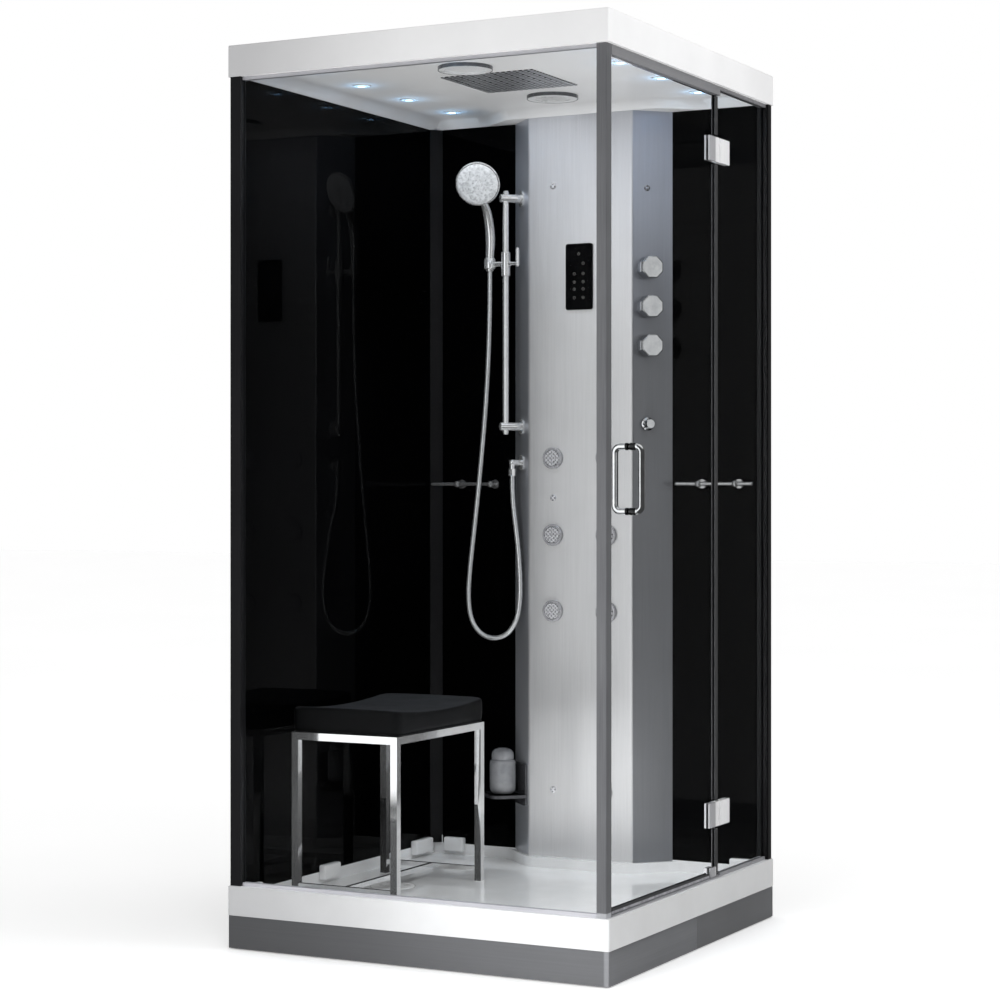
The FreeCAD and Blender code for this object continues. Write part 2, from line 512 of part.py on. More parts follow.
nozzle = revolve([(0, 3), (0, 11), (8, 10.5), (15, 8), (17, 4), (17, 0), (10.8, 0), (10.8, -10), (7, -10), (7, 3)])
for k in range(6):
    a = math.radians(60 * k)
    nozzle = nozzle.cut(cyl((4.4 * math.cos(a), 4.4 * math.sin(a), 0), (0, 0, 1), 1.5, 20))
save("steam_outlet", along(nozzle, (0, -1, 0), (JET_X, COL_F, 304)))

# ---------------------------------------------------------------- slide rail, hand shower and hose
rail = cyl((RAIL[0], RAIL[1], RAIL_Z[0] + 4), (0, 0, 1), RAIL_R, RAIL_Z[1] - RAIL_Z[0] - 8)
rail = fuse([rail, cyl((RAIL[0], RAIL[1], RAIL_Z[0]), (0, 0, 1), RAIL_R - 1.5, 4), cyl((RAIL[0], RAIL[1], RAIL_Z[1] - 4), (0, 0, 1), RAIL_R - 1.5, 4)])
save("slide_rail", rail)

brackets = []
for z in BRACKET_Z:
    arm = fuse([cyl((0, 0, z), (0, 1, 0), 21, 4), cyl((0, 4, z), (0, 1, 0), 11, RAIL_OFF + 12)])
    arm = round_edges(arm, 3, lambda e: all(abs(v.Point.y - (RAIL_OFF + 16)) < 1e-6 for v in e.Vertexes))
    arm = arm.cut(cyl((0, RAIL_OFF, z - 20), (0, 0, 1), RAIL_R, 40))
    brackets.append(on_chamfer(arm, False))
save("rail_brackets", brackets)

sleeve = cyl((RAIL[0], RAIL[1], SLIDER_Z[0]), (0, 0, 1), 12, SLIDER_Z[1] - SLIDER_Z[0])
sleeve = round_edges(sleeve, 2, lambda e: flat_at(SLIDER_Z[0])(e) or flat_at(SLIDER_Z[1])(e))
arm = cyl((RAIL[0], RAIL[1], ARM_Z), (-1, 0, 0), 7, 48 - 17.3)
boss = cyl((RAIL[0], RAIL[1], ARM_Z), (1, 0, 0), 6.5, 15)
slider = fuse([sleeve, arm, boss]).cut(cyl((RAIL[0], RAIL[1], 1600), (0, 0, 1), RAIL_R + 0.06, 200))
slider = slider.cut(cyl((GRIP_X + 17, GRIP_Y, ARM_Z), (1, 0, 0), 4.05, 11)).cut(cyl((RAIL[0] + 12, RAIL[1], ARM_Z), (1, 0, 0), 3.05, 4))
save("slider", slider)

lx = RAIL[0] + 15.3
lever = fuse([cyl((lx - 3, RAIL[1], ARM_Z), (1, 0, 0), 3, 4), cyl((lx, RAIL[1], ARM_Z), (1, 0, 0), 4.5, 20), cyl((lx + 20, RAIL[1], ARM_Z - 5), (0, 0, 1), 5, 42), Part.makeSphere(5, V(lx + 20, RAIL[1], ARM_Z + 37)), Part.makeSphere(5, V(lx + 20, RAIL[1], ARM_Z - 5))])
save("slider_lever", lever)

cradle = revolve([(11.6, 1682), (14, 1682), (15.5, 1684), (15.5, 1708), (14.5, 1710), (11.6, 1710)])
cradle.translate(V(GRIP_X, GRIP_Y, 0))
cradle = fuse([cradle, cyl((GRIP_X + 14, GRIP_Y, ARM_Z), (1, 0, 0), 7.5, 3), cyl((GRIP_X + 14, GRIP_Y, ARM_Z), (1, 0, 0), 4, 13)])
save("hand_cradle", cradle)

# handle: lofted circles along a gentle curve in the plane of the grip, open at the front for the way through
path = [(GRIP_Y, NUT_Z, 9.6), (GRIP_Y, 1690, 11.0), (GRIP_Y + 0.5, 1712, 11.2), (GRIP_Y + 3.5, 1745, 12.4), (GRIP_Y + 1.5, 1780, 12.8), (GRIP_Y - 8, 1815, 12.2), (GRIP_Y - 22, 1842, 11.0), (GRIP_Y - 46, 1872, 10.5)]


def circle_loft(rows, dr):
    wires = []
    for i, (y, z, r) in enumerate(rows):
        a, b = rows[max(0, i - 1)], rows[min(len(rows) - 1, i + 1)]
        d = V(0, b[0] - a[0], b[1] - a[1])
        if i == 0:
            d = V(0, 0, 1)
        wires.append(Part.Wire(Part.Circle(V(GRIP_X, y, z), d, r - dr).toShape()))
    return Part.makeLoft(wires, True, False)


ct, cn = math.cos(math.radians(HEAD_TILT)), math.radians(HEAD_TURN)
nf = (ct * math.sin(cn), -ct * math.cos(cn), -math.sin(math.radians(HEAD_TILT)))
dome = revolve([(0, -24), (20, -23.2), (38, -19.5), (50, -13), (57, -6), (HEAD_R, -1), (HEAD_R, 2), (57, 4), (54.2, 4), (54.2, -5), (47, -11), (36, -17), (20, -20.6), (0, -21.4)])
dome_solid = revolve([(0, -24), (20, -23.2), (38, -19.5), (50, -13), (57, -6), (HEAD_R, -1), (HEAD_R, 2), (57, 4), (0, 4)])
dome_hole = revolve([(0, 5), (54.2, 5), (54.2, -5), (47, -11), (36, -17), (20, -20.6), (0, -21.4)])
handle = circle_loft(path, 0)
hand = handle.fuse(along(dome_solid, nf, HEAD_C)).removeSplitter()
hand = hand.cut(along(dome_hole, nf, HEAD_C))
way = circle_loft([(y, z, r) for y, z, r in path], 4.5)
hand = hand.cut(way)
save("hand_shower", max(hand.Solids, key=lambda q: q.Volume))

face = revolve([(0, -3), (54.2, -3), (54.2, 4), (48, 6.2), (30, 7.6), (0, 8.4)])
for n, rr in ((6, 12), (12, 26), (18, 40)):
    for k in range(n):
        a = 2 * math.pi * (k + (0.5 if rr == 26 else 0)) / n
        h = 8.0 if rr == 12 else (7.7 if rr == 26 else 6.9)
        face = face.cut(cyl((rr * math.cos(a), rr * math.sin(a), h - 2.5), (0, 0, 1), 1.6, 6))
save("spray_face", along(face, nf, HEAD_C))

e1 = fuse([cyl((0, 0, OUTLET_Z), (0, 1, 0), 21, 3.5), cyl((0, 3, OUTLET_Z), (0, 1, 0), 8, OUTLET_OFF - 3)])
e1 = fuse([e1, Part.makeSphere(8.5, V(0, OUTLET_OFF, OUTLET_Z)), cyl((0, OUTLET_OFF, OUTLET_BOTTOM + 18), (0, 0, 1), 7, OUTLET_Z - OUTLET_BOTTOM - 18)])
e1 = fuse([e1, moved(prism(octagon(9.5), OUTLET_BOTTOM, OUTLET_BOTTOM + 18), 0, OUTLET_OFF, 0), cyl((0, -3.5, OUTLET_Z), (0, 1, 0), 9.2, 4)])
save("hose_outlet", on_chamfer(e1, False))

ROUTE = [
    (GRIP_X, GRIP_Y, NUT_Z),
    (GRIP_X, GRIP_Y, 1602),
    (-271.5, 402.8, 1492),
    (-276.5, 402.0, 1382),
    (-284.3, 401.0, 1274),
    (-294.0, 399.6, 1168),
    (-304.6, 398.0, 1064),
    (-315.6, 396.5, 966),
    (-325.6, 395.0, 880),
    (-330.5, 394.0, 808),
    (-322.4, 393.2, 748.7),
    (-298.9, 392.6, 713.9),
    (-269.0, 392.2, 698.0),
    (-235.0, 392.2, 698.0),
    (-205.1, 392.8, 713.9),
    (-182.4, 394.2, 748.7),
    (-175.0, 396.4, 802),
    (-176.8, 399.4, 868),
    (-184.5, 403.2, 938),
    (-196.0, 408.6, 1008),
    (OUTLET[0], OUTLET[1], 1072),
    (OUTLET[0], OUTLET[1], OUTLET_BOTTOM),
]


def tube_path(points):
    """Straight runs joined by tangent arcs; each arc takes 0.45 of the shorter run beside it."""
    pts = [V(*p) for p in points]
    edges, radii, here = [], [], pts[0]
    for i in range(1, len(pts) - 1):
        a, b, c = pts[i - 1], pts[i], pts[i + 1]
        u, w = (b - a), (c - b)
        t = 0.45 * min(u.Length, w.Length)
        u.normalize()
        w.normalize()
        turn = u.getAngle(w)
        r = t / math.tan(turn / 2)
        p, q = b - u * t, b + w * t
        bis = (w - u)
        bis.normalize()
        centre = b + bis * (r / math.cos(turn / 2))
        m = centre - bis * r
        edges.append(Part.LineSegment(here, p).toShape())
        edges.append(Part.Arc(p, m, q).toShape())
        radii.append((round(math.degrees(turn), 1), round(r, 1)))
        here = q
    edges.append(Part.LineSegment(here, pts[-1]).toShape())
    return Part.Wire(edges), radii


wire, radii = tube_path(ROUTE)
start = Part.Wire(Part.Circle(V(*ROUTE[0]), V(*ROUTE[1]) - V(*ROUTE[0]), HOSE_R).toShape())
hose = wire.makePipeShell([start], True, False)
print("hose turns and radii", radii)
print("hose length %.1f, volume share %.4f" % (wire.Length, hose.Volume / (math.pi * HOSE_R ** 2 * wire.Length)))
save("shower_hose", hose)

# ---------------------------------------------------------------- corner shelf, bottle and towel bars
plate = box(-50, 6, SHELF_Z - 7, 50, 96, SHELF_Z)
plate = round_edges(plate, 18, lambda e: vertical(e) and e.Vertexes[0].Point.y > 50)
trim = box(-54, 6, SHELF_Z - 8, 54, 100, SHELF_Z)
trim = round_edges(trim, 22, lambda e: vertical(e) and e.Vertexes[0].Point.y > 50)
trim = trim.cut(round_edges(box(-50, 5, SHELF_Z - 20, 50, 96, SHELF_Z + 20), 18, lambda e: vertical(e) and e.Vertexes[0].Point.y > 50))
bracket = box(-46, 0, SHELF_Z - 30, 46, 6, SHELF_Z + 80)
bracket = round_edges(bracket, 8, lambda e: abs(e.Vertexes[0].Point.x - e.Vertexes[-1].Point.x) < 1e-6 and abs(e.Vertexes[0].Point.z - e.Vertexes[-1].Point.z) < 1e-6)
save("corner_shelf", [on_chamfer(s, False) for s in (plate, trim, bracket)])

BOTTLE_V = 54.0
bottle = revolve([(0, SHELF_Z), (22, SHELF_Z), (29, SHELF_Z + 2.5), (33.5, SHELF_Z + 9), (35, SHELF_Z + 18), (35, SHELF_Z + 84), (33.5, SHELF_Z + 88.5), (30, SHELF_Z + 90.5), (29, SHELF_Z + 92), (30, SHELF_Z + 94), (30, SHELF_Z + 104), (27.5, SHELF_Z + 112), (21, SHELF_Z + 118), (11, SHELF_Z + 121), (0, SHELF_Z + 122)])
save("soap_bottle", on_chamfer(moved(bottle, 0, BOTTLE_V, 0), False))

def beaded_bar(x0, x1, balls, r, rb, y, z):
    """Round bar along X with domed ends and balls, turned as one piece."""
    k = math.sqrt(0.5)
    dx = math.sqrt(rb ** 2 - r ** 2)
    e = [Part.Arc(V(x0 - r, 0, 0), V(x0 - r * k, 0, r * k), V(x0, 0, r)).toShape()]
    x = x0
    for q in balls:
        e.append(Part.LineSegment(V(x, 0, r), V(q - dx, 0, r)).toShape())
        e.append(Part.Arc(V(q - dx, 0, r), V(q, 0, rb), V(q + dx, 0, r)).toShape())
        x = q + dx
    e.append(Part.LineSegment(V(x, 0, r), V(x1, 0, r)).toShape())
    e.append(Part.Arc(V(x1, 0, r), V(x1 + r * k, 0, r * k), V(x1 + r, 0, 0)).toShape())
    e.append(Part.LineSegment(V(x1 + r, 0, 0), V(x0 - r, 0, 0)).toShape())
    return moved(Part.Face(Part.Wire(e)).revolve(V(0, 0, 0), V(1, 0, 0), 360), 0, y, z)


bars = []
for x0, x1, balls in ((-468, -271, (-391, -290)), (253, 460, (314, 416))):
    bits = [beaded_bar(x0, x1, balls, 4.5, 9, 445, 1108)]
    for x in balls:
        bits += [rod((x, 449, 1108), (x, WALL_Y - 3, 1108), 5), cyl((x, WALL_Y - 4, 1108), (0, 1, 0), 12, 4)]
    bars.append(fuse(bits))
save("towel_bars", bars)

# ---------------------------------------------------------------- door
fixed, pins, moving = [], [], []
for z in HINGE_Z:
    fx = [box(PIV_X + s * 5.5 - 2.5, PIV_Y + 8.5, z - 30, PIV_X + s * 5.5 + 2.5, PIV_Y + 66, z + 30) for s in (-1, 1)]
    fx = [round_edges(q, 1.5, lambda e: abs(abs(e.Vertexes[0].Point.x - PIV_X) - 8) < 1e-6 and abs(abs(e.Vertexes[-1].Point.x - PIV_X) - 8) < 1e-6) for q in fx]
    for s in (-1, 1):
        zc = z + s * 21.5
        fx.append(cyl((PIV_X, PIV_Y, zc - 8.5), (0, 0, 1), 7, 17))
        fx.append(box(PIV_X - 3, PIV_Y + 3, zc - 8.5, PIV_X + 3, PIV_Y + 36, zc + 8.5))
    f = fuse(fx).cut(cyl((PIV_X, PIV_Y, z - 40), (0, 0, 1), 3, 80))
    fixed.append(f)
    mv = [box(PIV_X + s * 5.5 - 2.5, PIV_Y - 60, z - 30, PIV_X + s * 5.5 + 2.5, PIV_Y - 8.5, z + 30) for s in (-1, 1)]
    mv = [round_edges(q, 1.5, lambda e: abs(abs(e.Vertexes[0].Point.x - PIV_X) - 8) < 1e-6 and abs(abs(e.Vertexes[-1].Point.x - PIV_X) - 8) < 1e-6) for q in mv]
    mv.append(cyl((PIV_X, PIV_Y, z - 12.5), (0, 0, 1), 7, 25))
    mv.append(box(PIV_X - 3, PIV_Y - 36, z - 12.5, PIV_X + 3, PIV_Y - 3, z + 12.5))
    m = fuse(mv).cut(cyl((PIV_X, PIV_Y, z - 40), (0, 0, 1), 3.05, 80))
    moving.append(m)
    pins.append(fuse([cyl((PIV_X, PIV_Y, z - 30), (0, 0, 1), 3, 60), cyl((PIV_X, PIV_Y, z + 30), (0, 0, 1), 5, 2)]))
save("hinge_fixed", fixed)
save("hinge_pins", pins)

SHOE = (111.0, 143.0)
shoe = box(468, SHOE[0], 154, 488, SHOE[1], 177).cut(box(GP - GT / 2, SHOE[0] - 1, DOOR_Z0, GP + GT / 2, SHOE[1] + 1, 200))
save("hinge_door", moving + [shoe])

glass = box(GP - GT / 2, DOOR_Y0, DOOR_Z0, GP + GT / 2, DOOR_Y1, DOOR_Z1)
for z in HINGE_Z:
    glass = glass.cut(box(GP - 10, PIV_Y - 38, z - 34, GP + 10, PIV_Y, z + 34))
for z in HANDLE_Z:
    glass = glass.cut(cyl((GP - 10, HANDLE_Y, z), (1, 0, 0), 5, 20))
save("door_glass", glass)


def grip(x_post, x_bar):
    """D-shaped tube handle: two posts, two bends and a straight bar."""
    s = 1 if x_bar > x_post else -1
    b = abs(x_bar - x_post)
    bend = min(14.0, b)
    z0, z1 = HANDLE_Z
    out = [cyl((x_bar, HANDLE_Y, z0 + bend), (0, 0, 1), BAR_R, z1 - z0 - 2 * bend)]
    for z, up in ((z0, 1), (z1, -1)):
        c = V(x_bar - s * bend, HANDLE_Y, z + up * bend)
        t = Part.makeTorus(bend, BAR_R, c, V(0, 1, 0))
        quarter = box(min(c.x, c.x + s * 40), HANDLE_Y - 20, min(c.z, c.z - up * 40), max(c.x, c.x + s * 40), HANDLE_Y + 20, max(c.z, c.z - up * 40))
        out.append(t.common(quarter))
        if b > bend + 0.01:
            out.append(cyl((x_post, HANDLE_Y, z), (s, 0, 0), BAR_R, b - bend))
    return fuse(out)


sleeves = []
for z in HANDLE_Z:
    for x0, x1 in ((GP + GT / 2, 497.0), (472.0, GP - GT / 2)):
        sleeves.append(cyl((x0, HANDLE_Y, z), (1, 0, 0), 8.5, x1 - x0).cut(cyl((x0 - 1, HANDLE_Y, z), (1, 0, 0), 3.2, 40)))
bolts = [cyl((472, HANDLE_Y, z), (1, 0, 0), 3, 25) for z in HANDLE_Z]
save("door_handle", [grip(497.0, BAR_OUT), grip(472.0, BAR_IN)] + sleeves + bolts)

bottom_seal = box(474, DOOR_Y0, 154.5, 486, 105, 166).cut(box(GP - GT / 2, DOOR_Y0 - 1, DOOR_Z0, GP + GT / 2, 110, 200))
edge_seal = box(475, DOOR_Y0 - 8, DOOR_Z0, 485, DOOR_Y0, DOOR_Z1)
hinge_seals = []
for z0, z1 in ((DOOR_Z0, HINGE_Z[1] - 36), (HINGE_Z[1] + 36, HINGE_Z[0] - 36), (HINGE_Z[0] + 36, DOOR_Z1)):
    u = box(GP - 5.2, PIV_Y - 21.5, z0, GP + 5.2, PIV_Y - 4.3, z1)
    hinge_seals.append(u.cut(box(GP - GT / 2, PIV_Y - 30, z0 - 1, GP + GT / 2, DOOR_Y1, z1 + 1)))
save("door_seals", [bottom_seal, edge_seal] + hinge_seals)

# ---------------------------------------------------------------- stool
sx0, sx1 = STOOL_X[0] - 12, STOOL_X[1] + 12
sy0, sy1 = STOOL_Y[0] - 12, STOOL_Y[1] + 12
z0, z1 = STOOL_TOP - STOOL_T, STOOL_TOP
dip = 12.0
ym = (sy0 + sy1) / 2
line = [Part.LineSegment(V(sx0, sy0, z1), V(sx0, sy0, z0)).toShape(), Part.LineSegment(V(sx0, sy0, z0), V(sx0, sy1, z0)).toShape(),
        Part.LineSegment(V(sx0, sy1, z0), V(sx0, sy1, z1)).toShape(), Part.Arc(V(sx0, sy1, z1), V(sx0, ym, z1 - dip), V(sx0, sy0, z1)).toShape()]
seat = Part.Face(Part.Wire(line)).extrude(V(sx1 - sx0, 0, 0))
seat = round_edges(seat, 5, lambda e: vertical(e))
save("stool_seat", seat)

hz = TUBE / 2
legs = []
FT = FLOOR_Z + 3
for x in STOOL_X:
    for y in STOOL_Y:
        legs.append(square_tube((x - hz, y - hz, FT), (x + hz, y + hz, z0 - TUBE), TUBE, 1.5, 2))
        legs.append(box(x - hz, y - hz, FLOOR_Z, x + hz, y + hz, FT))
for y in STOOL_Y:
    legs.append(box(STOOL_X[0] - hz, y - hz, z0 - TUBE, STOOL_X[1] + hz, y + hz, z0).cut(box(STOOL_X[0] - hz + 1.5, y - hz + 1.5, z0 - TUBE + 1.5, STOOL_X[1] + hz - 1.5, y + hz + 1, z0 - 1.5)))
for x in STOOL_X:
    legs.append(square_tube((x - hz, STOOL_Y[0] + hz, z0 - TUBE), (x + hz, STOOL_Y[1] - hz, z0), TUBE, 1.5, 1))
xm = (STOOL_X[0] + STOOL_X[1]) / 2
for y in STOOL_Y:
    legs.append(square_tube((STOOL_X[0] + hz, y - 6, 124), (STOOL_X[1] - hz, y + 6, 136), 12, 1.2, 0))
legs.append(square_tube((xm - 6, STOOL_Y[0] + 6, 124), (xm + 6, STOOL_Y[1] - 6, 136), 12, 1.2, 1))
save("stool_frame", legs)

print("nodes", len(written))
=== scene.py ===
import bpy
import bmesh
import math
import random
from mathutils import Matrix, Vector


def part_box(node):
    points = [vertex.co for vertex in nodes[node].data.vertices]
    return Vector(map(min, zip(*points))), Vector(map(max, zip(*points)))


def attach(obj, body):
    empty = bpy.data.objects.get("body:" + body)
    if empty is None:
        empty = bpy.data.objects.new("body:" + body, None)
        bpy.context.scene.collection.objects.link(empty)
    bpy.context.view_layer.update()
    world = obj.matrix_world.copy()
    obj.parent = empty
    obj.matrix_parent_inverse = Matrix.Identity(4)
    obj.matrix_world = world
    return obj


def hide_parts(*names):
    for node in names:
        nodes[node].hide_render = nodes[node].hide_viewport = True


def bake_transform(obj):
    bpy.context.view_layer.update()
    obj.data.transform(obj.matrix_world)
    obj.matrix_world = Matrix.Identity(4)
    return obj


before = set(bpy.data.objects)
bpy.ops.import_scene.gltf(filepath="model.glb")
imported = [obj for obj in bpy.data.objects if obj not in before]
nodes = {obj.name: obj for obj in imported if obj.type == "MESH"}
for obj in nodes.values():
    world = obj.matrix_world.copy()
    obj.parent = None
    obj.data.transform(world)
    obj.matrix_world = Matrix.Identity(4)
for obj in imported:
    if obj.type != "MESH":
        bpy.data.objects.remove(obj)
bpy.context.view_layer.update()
scene = bpy.context.scene
random.seed(7)
MM = 0.001
D = math.sqrt(0.5)
LC = (-0.1895, 0.4355)
RC = (0.1895, 0.4355)

# ---------------------------------------------------------------- camera
cam_data = bpy.data.cameras.new("camera")
cam = bpy.data.objects.new("camera", cam_data)
scene.collection.objects.link(cam)
cam.location = (2.7118, -5.2689, 1.0897)
cam.rotation_euler = (math.radians(90), 0, math.radians(27.483))
cam_data.sensor_width = 36
cam_data.lens = 86.377
cam_data.shift_y = -0.0091
cam_data.clip_end = 100
scene.camera = cam

# ---------------------------------------------------------------- material helpers


class Mat:
    """A Principled material with named helper nodes."""

    def __init__(self, name):
        self.m = bpy.data.materials.new(name)
        self.m.use_nodes = True
        self.t = self.m.node_tree
        self.n = self.t.nodes
        self.l = self.t.links
        self.p = self.n["Principled BSDF"]
        self.out = self.n["Material Output"]
        self.co = self.n.new("ShaderNodeTexCoord")

    def new(self, kind, **kw):
        x = self.n.new(kind)
        for k, v in kw.items():
            if k.startswith("in_"):
                key = k[3:].replace("_", " ")
                for s in x.inputs:
                    if s.name.lower() == key.lower() and s.enabled:
                        s.default_value = v
                        break
            else:
                setattr(x, k, v)
        return x

    def mapping(self, scale=(1, 1, 1), rot=(0, 0, 0), loc=(0, 0, 0), source="Object"):
        x = self.new("ShaderNodeMapping")
        x.inputs["Scale"].default_value = scale
        x.inputs["Rotation"].default_value = rot
        x.inputs["Location"].default_value = loc
        self.l.new(self.co.outputs[source], x.inputs["Vector"])
        return x.outputs[0]

    def noise(self, scale, vec=None, detail=4.0, rough=0.55, distortion=0.0):
        x = self.new("ShaderNodeTexNoise")
        x.inputs["Scale"].default_value = scale
        x.inputs["Detail"].default_value = detail
        x.inputs["Roughness"].default_value = rough
        x.inputs["Distortion"].default_value = distortion
        self.l.new(vec if vec is not None else self.co.outputs["Object"], x.inputs["Vector"])
        return x.outputs["Fac"]

    def ramp(self, fac, lo, hi, a=0.35, b=0.65):
        """Colour between lo and hi as fac goes from a to b."""
        x = self.new("ShaderNodeValToRGB")
        e = x.color_ramp.elements
        e[0].position, e[1].position = a, b
        e[0].color, e[1].color = (*lo, 1), (*hi, 1)
        self.l.new(fac, x.inputs["Fac"])
        return x.outputs["Color"]

    def rng(self, fac, lo, hi, a=0.3, b=0.7):
        x = self.new("ShaderNodeMapRange")
        x.inputs["From Min"].default_value = a
        x.inputs["From Max"].default_value = b
        x.inputs["To Min"].default_value = lo
        x.inputs["To Max"].default_value = hi
        self.l.new(fac, x.inputs["Value"])
        return x.outputs["Result"]

    def math(self, op, a, b=None):
        x = self.new("ShaderNodeMath", operation=op)
        for i, v in enumerate((a, b)):
            if v is None:
                continue
            if isinstance(v, (int, float)):
                x.inputs[i].default_value = v
            else:
                self.l.new(v, x.inputs[i])
        return x.outputs[0]

    def bump(self, height, strength=0.2, dist=0.0002, normal=None):
        x = self.new("ShaderNodeBump")
        x.inputs["Strength"].default_value = strength
        x.inputs["Distance"].default_value = dist
        self.l.new(height, x.inputs["Height"])
        if normal is not None:
            self.l.new(normal, x.inputs["Normal"])
        return x.outputs[0]

    def set(self, **kw):
        """Sets or links Principled sockets."""
        for k, v in kw.items():
            s = self.p.inputs[k.replace("_", " ")]
            if isinstance(v, bpy.types.NodeSocket):
                self.l.new(v, s)
            elif isinstance(v, tuple) and len(v) == 3 and s.type == "RGBA":
                s.default_value = (*v, 1)
            else:
                s.default_value = v
        return self


def srgb(*c):
    return tuple((x / 255 / 12.92 if x <= 10 else ((x / 255 + 0.055) / 1.055) ** 2.4) for x in c)


def plastic(name, lo, hi, r0, r1, scale=60.0, bump=0.06, dist=0.0003, coat=0.0):
    m = Mat(name)
    n = m.noise(scale, detail=5)
    fine = m.noise(scale * 14, detail=3)
    m.set(Base_Color=m.ramp(n, lo, hi), Roughness=m.rng(n, r0, r1))
    m.set(Normal=m.bump(fine, bump, dist))
    if coat:
        m.set(Coat_Weight=coat, Coat_Roughness=0.03)
    return m.m


def chrome(name, lo=(0.66, 0.67, 0.68), hi=(0.80, 0.81, 0.82), r0=0.04, r1=0.11, scale=35.0):
    m = Mat(name)
    n = m.noise(scale, detail=6, rough=0.6)
    spots = m.noise(scale * 16, detail=2)
    m.set(Metallic=1.0, Base_Color=m.ramp(n, lo, hi), Roughness=m.rng(n, r0, r1))
    m.set(Normal=m.bump(spots, 0.03, 0.0001))
    return m.m


def brushed(name, lo, hi, r0, r1, stretch, metal=1.0, scale=1.0, bump=0.10, dist=0.0001, spec=0.5):
    """Metal with fine streaks: stretch gives the noise's scale along X, Y and Z."""
    m = Mat(name)
    v = m.mapping(stretch)
    n = m.noise(scale, v, detail=6, rough=0.7)
    big = m.noise(3.0, detail=3)
    mix = m.math("ADD", m.math("MULTIPLY", n, 0.6), m.math("MULTIPLY", big, 0.4))
    m.set(Metallic=metal, Base_Color=m.ramp(mix, lo, hi), Roughness=m.rng(n, r0, r1))
    m.set(Normal=m.bump(n, bump, dist))
    m.set(Specular_IOR_Level=spec)
    return m.m


def glass(name, tint_lo, tint_hi, scale=4.0):
    """Clear glass that lets lamp light through, with faint cleaning streaks in its roughness."""
    m = Mat(name)
    v = m.mapping((6, 6, 1.2))
    n = m.noise(scale, v, detail=5)
    m.set(Base_Color=m.ramp(n, tint_lo, tint_hi), Roughness=m.rng(n, 0.0, 0.012, 0.45, 0.75))
    m.set(Transmission_Weight=1.0, IOR=1.02)
    path = m.new("ShaderNodeLightPath")
    clear = m.new("ShaderNodeBsdfTransparent")
    clear.inputs["Color"].default_value = (0.945, 0.950, 0.952, 1)
    mix = m.new("ShaderNodeMixShader")
    m.l.new(path.outputs["Is Shadow Ray"], mix.inputs[0])
    m.l.new(m.p.outputs[0], mix.inputs[1])
    m.l.new(clear.outputs[0], mix.inputs[2])
    m.l.new(mix.outputs[0], m.out.inputs["Surface"])
    return m.m


M = {}
M["acrylic"] = plastic("moulded_acrylic", (0.80, 0.805, 0.81), (0.85, 0.855, 0.86), 0.10, 0.17, 7.0, 0.05, 0.0004, 0.35)
M["canopy"] = plastic("canopy_acrylic", (0.80, 0.80, 0.805), (0.84, 0.84, 0.845), 0.30, 0.38, 6.0, 0.05, 0.0004)
M["ceiling"] = plastic("ceiling_acrylic", (0.84, 0.835, 0.83), (0.88, 0.875, 0.87), 0.34, 0.44, 6.0, 0.05, 0.0004)
M["white"] = plastic("white_cover", (0.72, 0.72, 0.72), (0.78, 0.78, 0.78), 0.25, 0.35, 25.0, 0.04)
M["skirt"] = brushed("grey_skirt_sheet", srgb(123, 124, 127), srgb(133, 134, 137), 0.38, 0.5, (3, 3, 260), 0.35, 1.0, 0.06)
M["black"] = None
M["column"] = brushed("column_sheet", srgb(186, 186, 187), srgb(199, 199, 200), 0.29, 0.38, (420, 420, 5), 0.80, 1.0, 0.05)
M["zinc"] = brushed("zinc_plated", (0.42, 0.43, 0.45), (0.62, 0.63, 0.64), 0.35, 0.55, (90, 90, 90), 1.0, 1.0, 0.15)
M["dark"] = brushed("dark_anodised", srgb(27, 27, 29), srgb(42, 42, 44), 0.3, 0.42, (500, 500, 6), 0.75, 1.0, 0.08)
M["post"] = brushed("satin_anodised", srgb(102, 103, 106), srgb(128, 129, 132), 0.3, 0.42, (500, 500, 6), 0.45, 1.0, 0.08)
M["rails"] = brushed("rail_anodised", srgb(128, 128, 131), srgb(150, 150, 153), 0.34, 0.46, (6, 6, 500), 0.3, 1.0, 0.08)
M["chrome"] = chrome("polished_chrome")
M["chrome_soft"] = chrome("satin_chrome", (0.60, 0.61, 0.62), (0.72, 0.73, 0.74), 0.12, 0.22)
M["fitting"] = brushed("bright_chrome_fitting", (0.84, 0.845, 0.85), (0.93, 0.935, 0.94), 0.09, 0.17, (40, 40, 40), 0.84, 1.0, 0.03)
M["tube"] = brushed("bright_chrome_tube", (0.84, 0.845, 0.85), (0.93, 0.935, 0.94), 0.05, 0.11, (30, 30, 30), 0.90, 1.0, 0.02)
M["ring"] = brushed("dark_steel_ring", srgb(84, 85, 88), srgb(104, 105, 108), 0.2, 0.3, (60, 60, 60), 0.6, 1.0, 0.05)
M["jet_ring"] = brushed("jet_ring", srgb(132, 132, 135), srgb(150, 150, 153), 0.22, 0.32, (60, 60, 60), 0.30, 1.0, 0.05)
M["bar"] = brushed("towel_bar_steel", (0.26, 0.262, 0.265), (0.34, 0.342, 0.345), 0.12, 0.22, (40, 40, 40), 0.80, 1.0, 0.03)
M["handle"] = chrome("handle_chrome")
M["glass"] = glass("clear_glass_pane", (0.966, 0.974, 0.978), (0.984, 0.990, 0.992))
M["pvc"] = plastic("grey_pvc", (0.20, 0.20, 0.21), (0.27, 0.27, 0.28), 0.4, 0.55, 40.0)
M["black_plastic"] = plastic("black_moulding", (0.0008, 0.0008, 0.0009), (0.0014, 0.0014, 0.0016), 0.08, 0.14, 25.0, 0.03)
m = Mat("satin_jet")
sep = m.new("ShaderNodeSeparateXYZ")
m.l.new(m.co.outputs["Object"], sep.inputs[0])
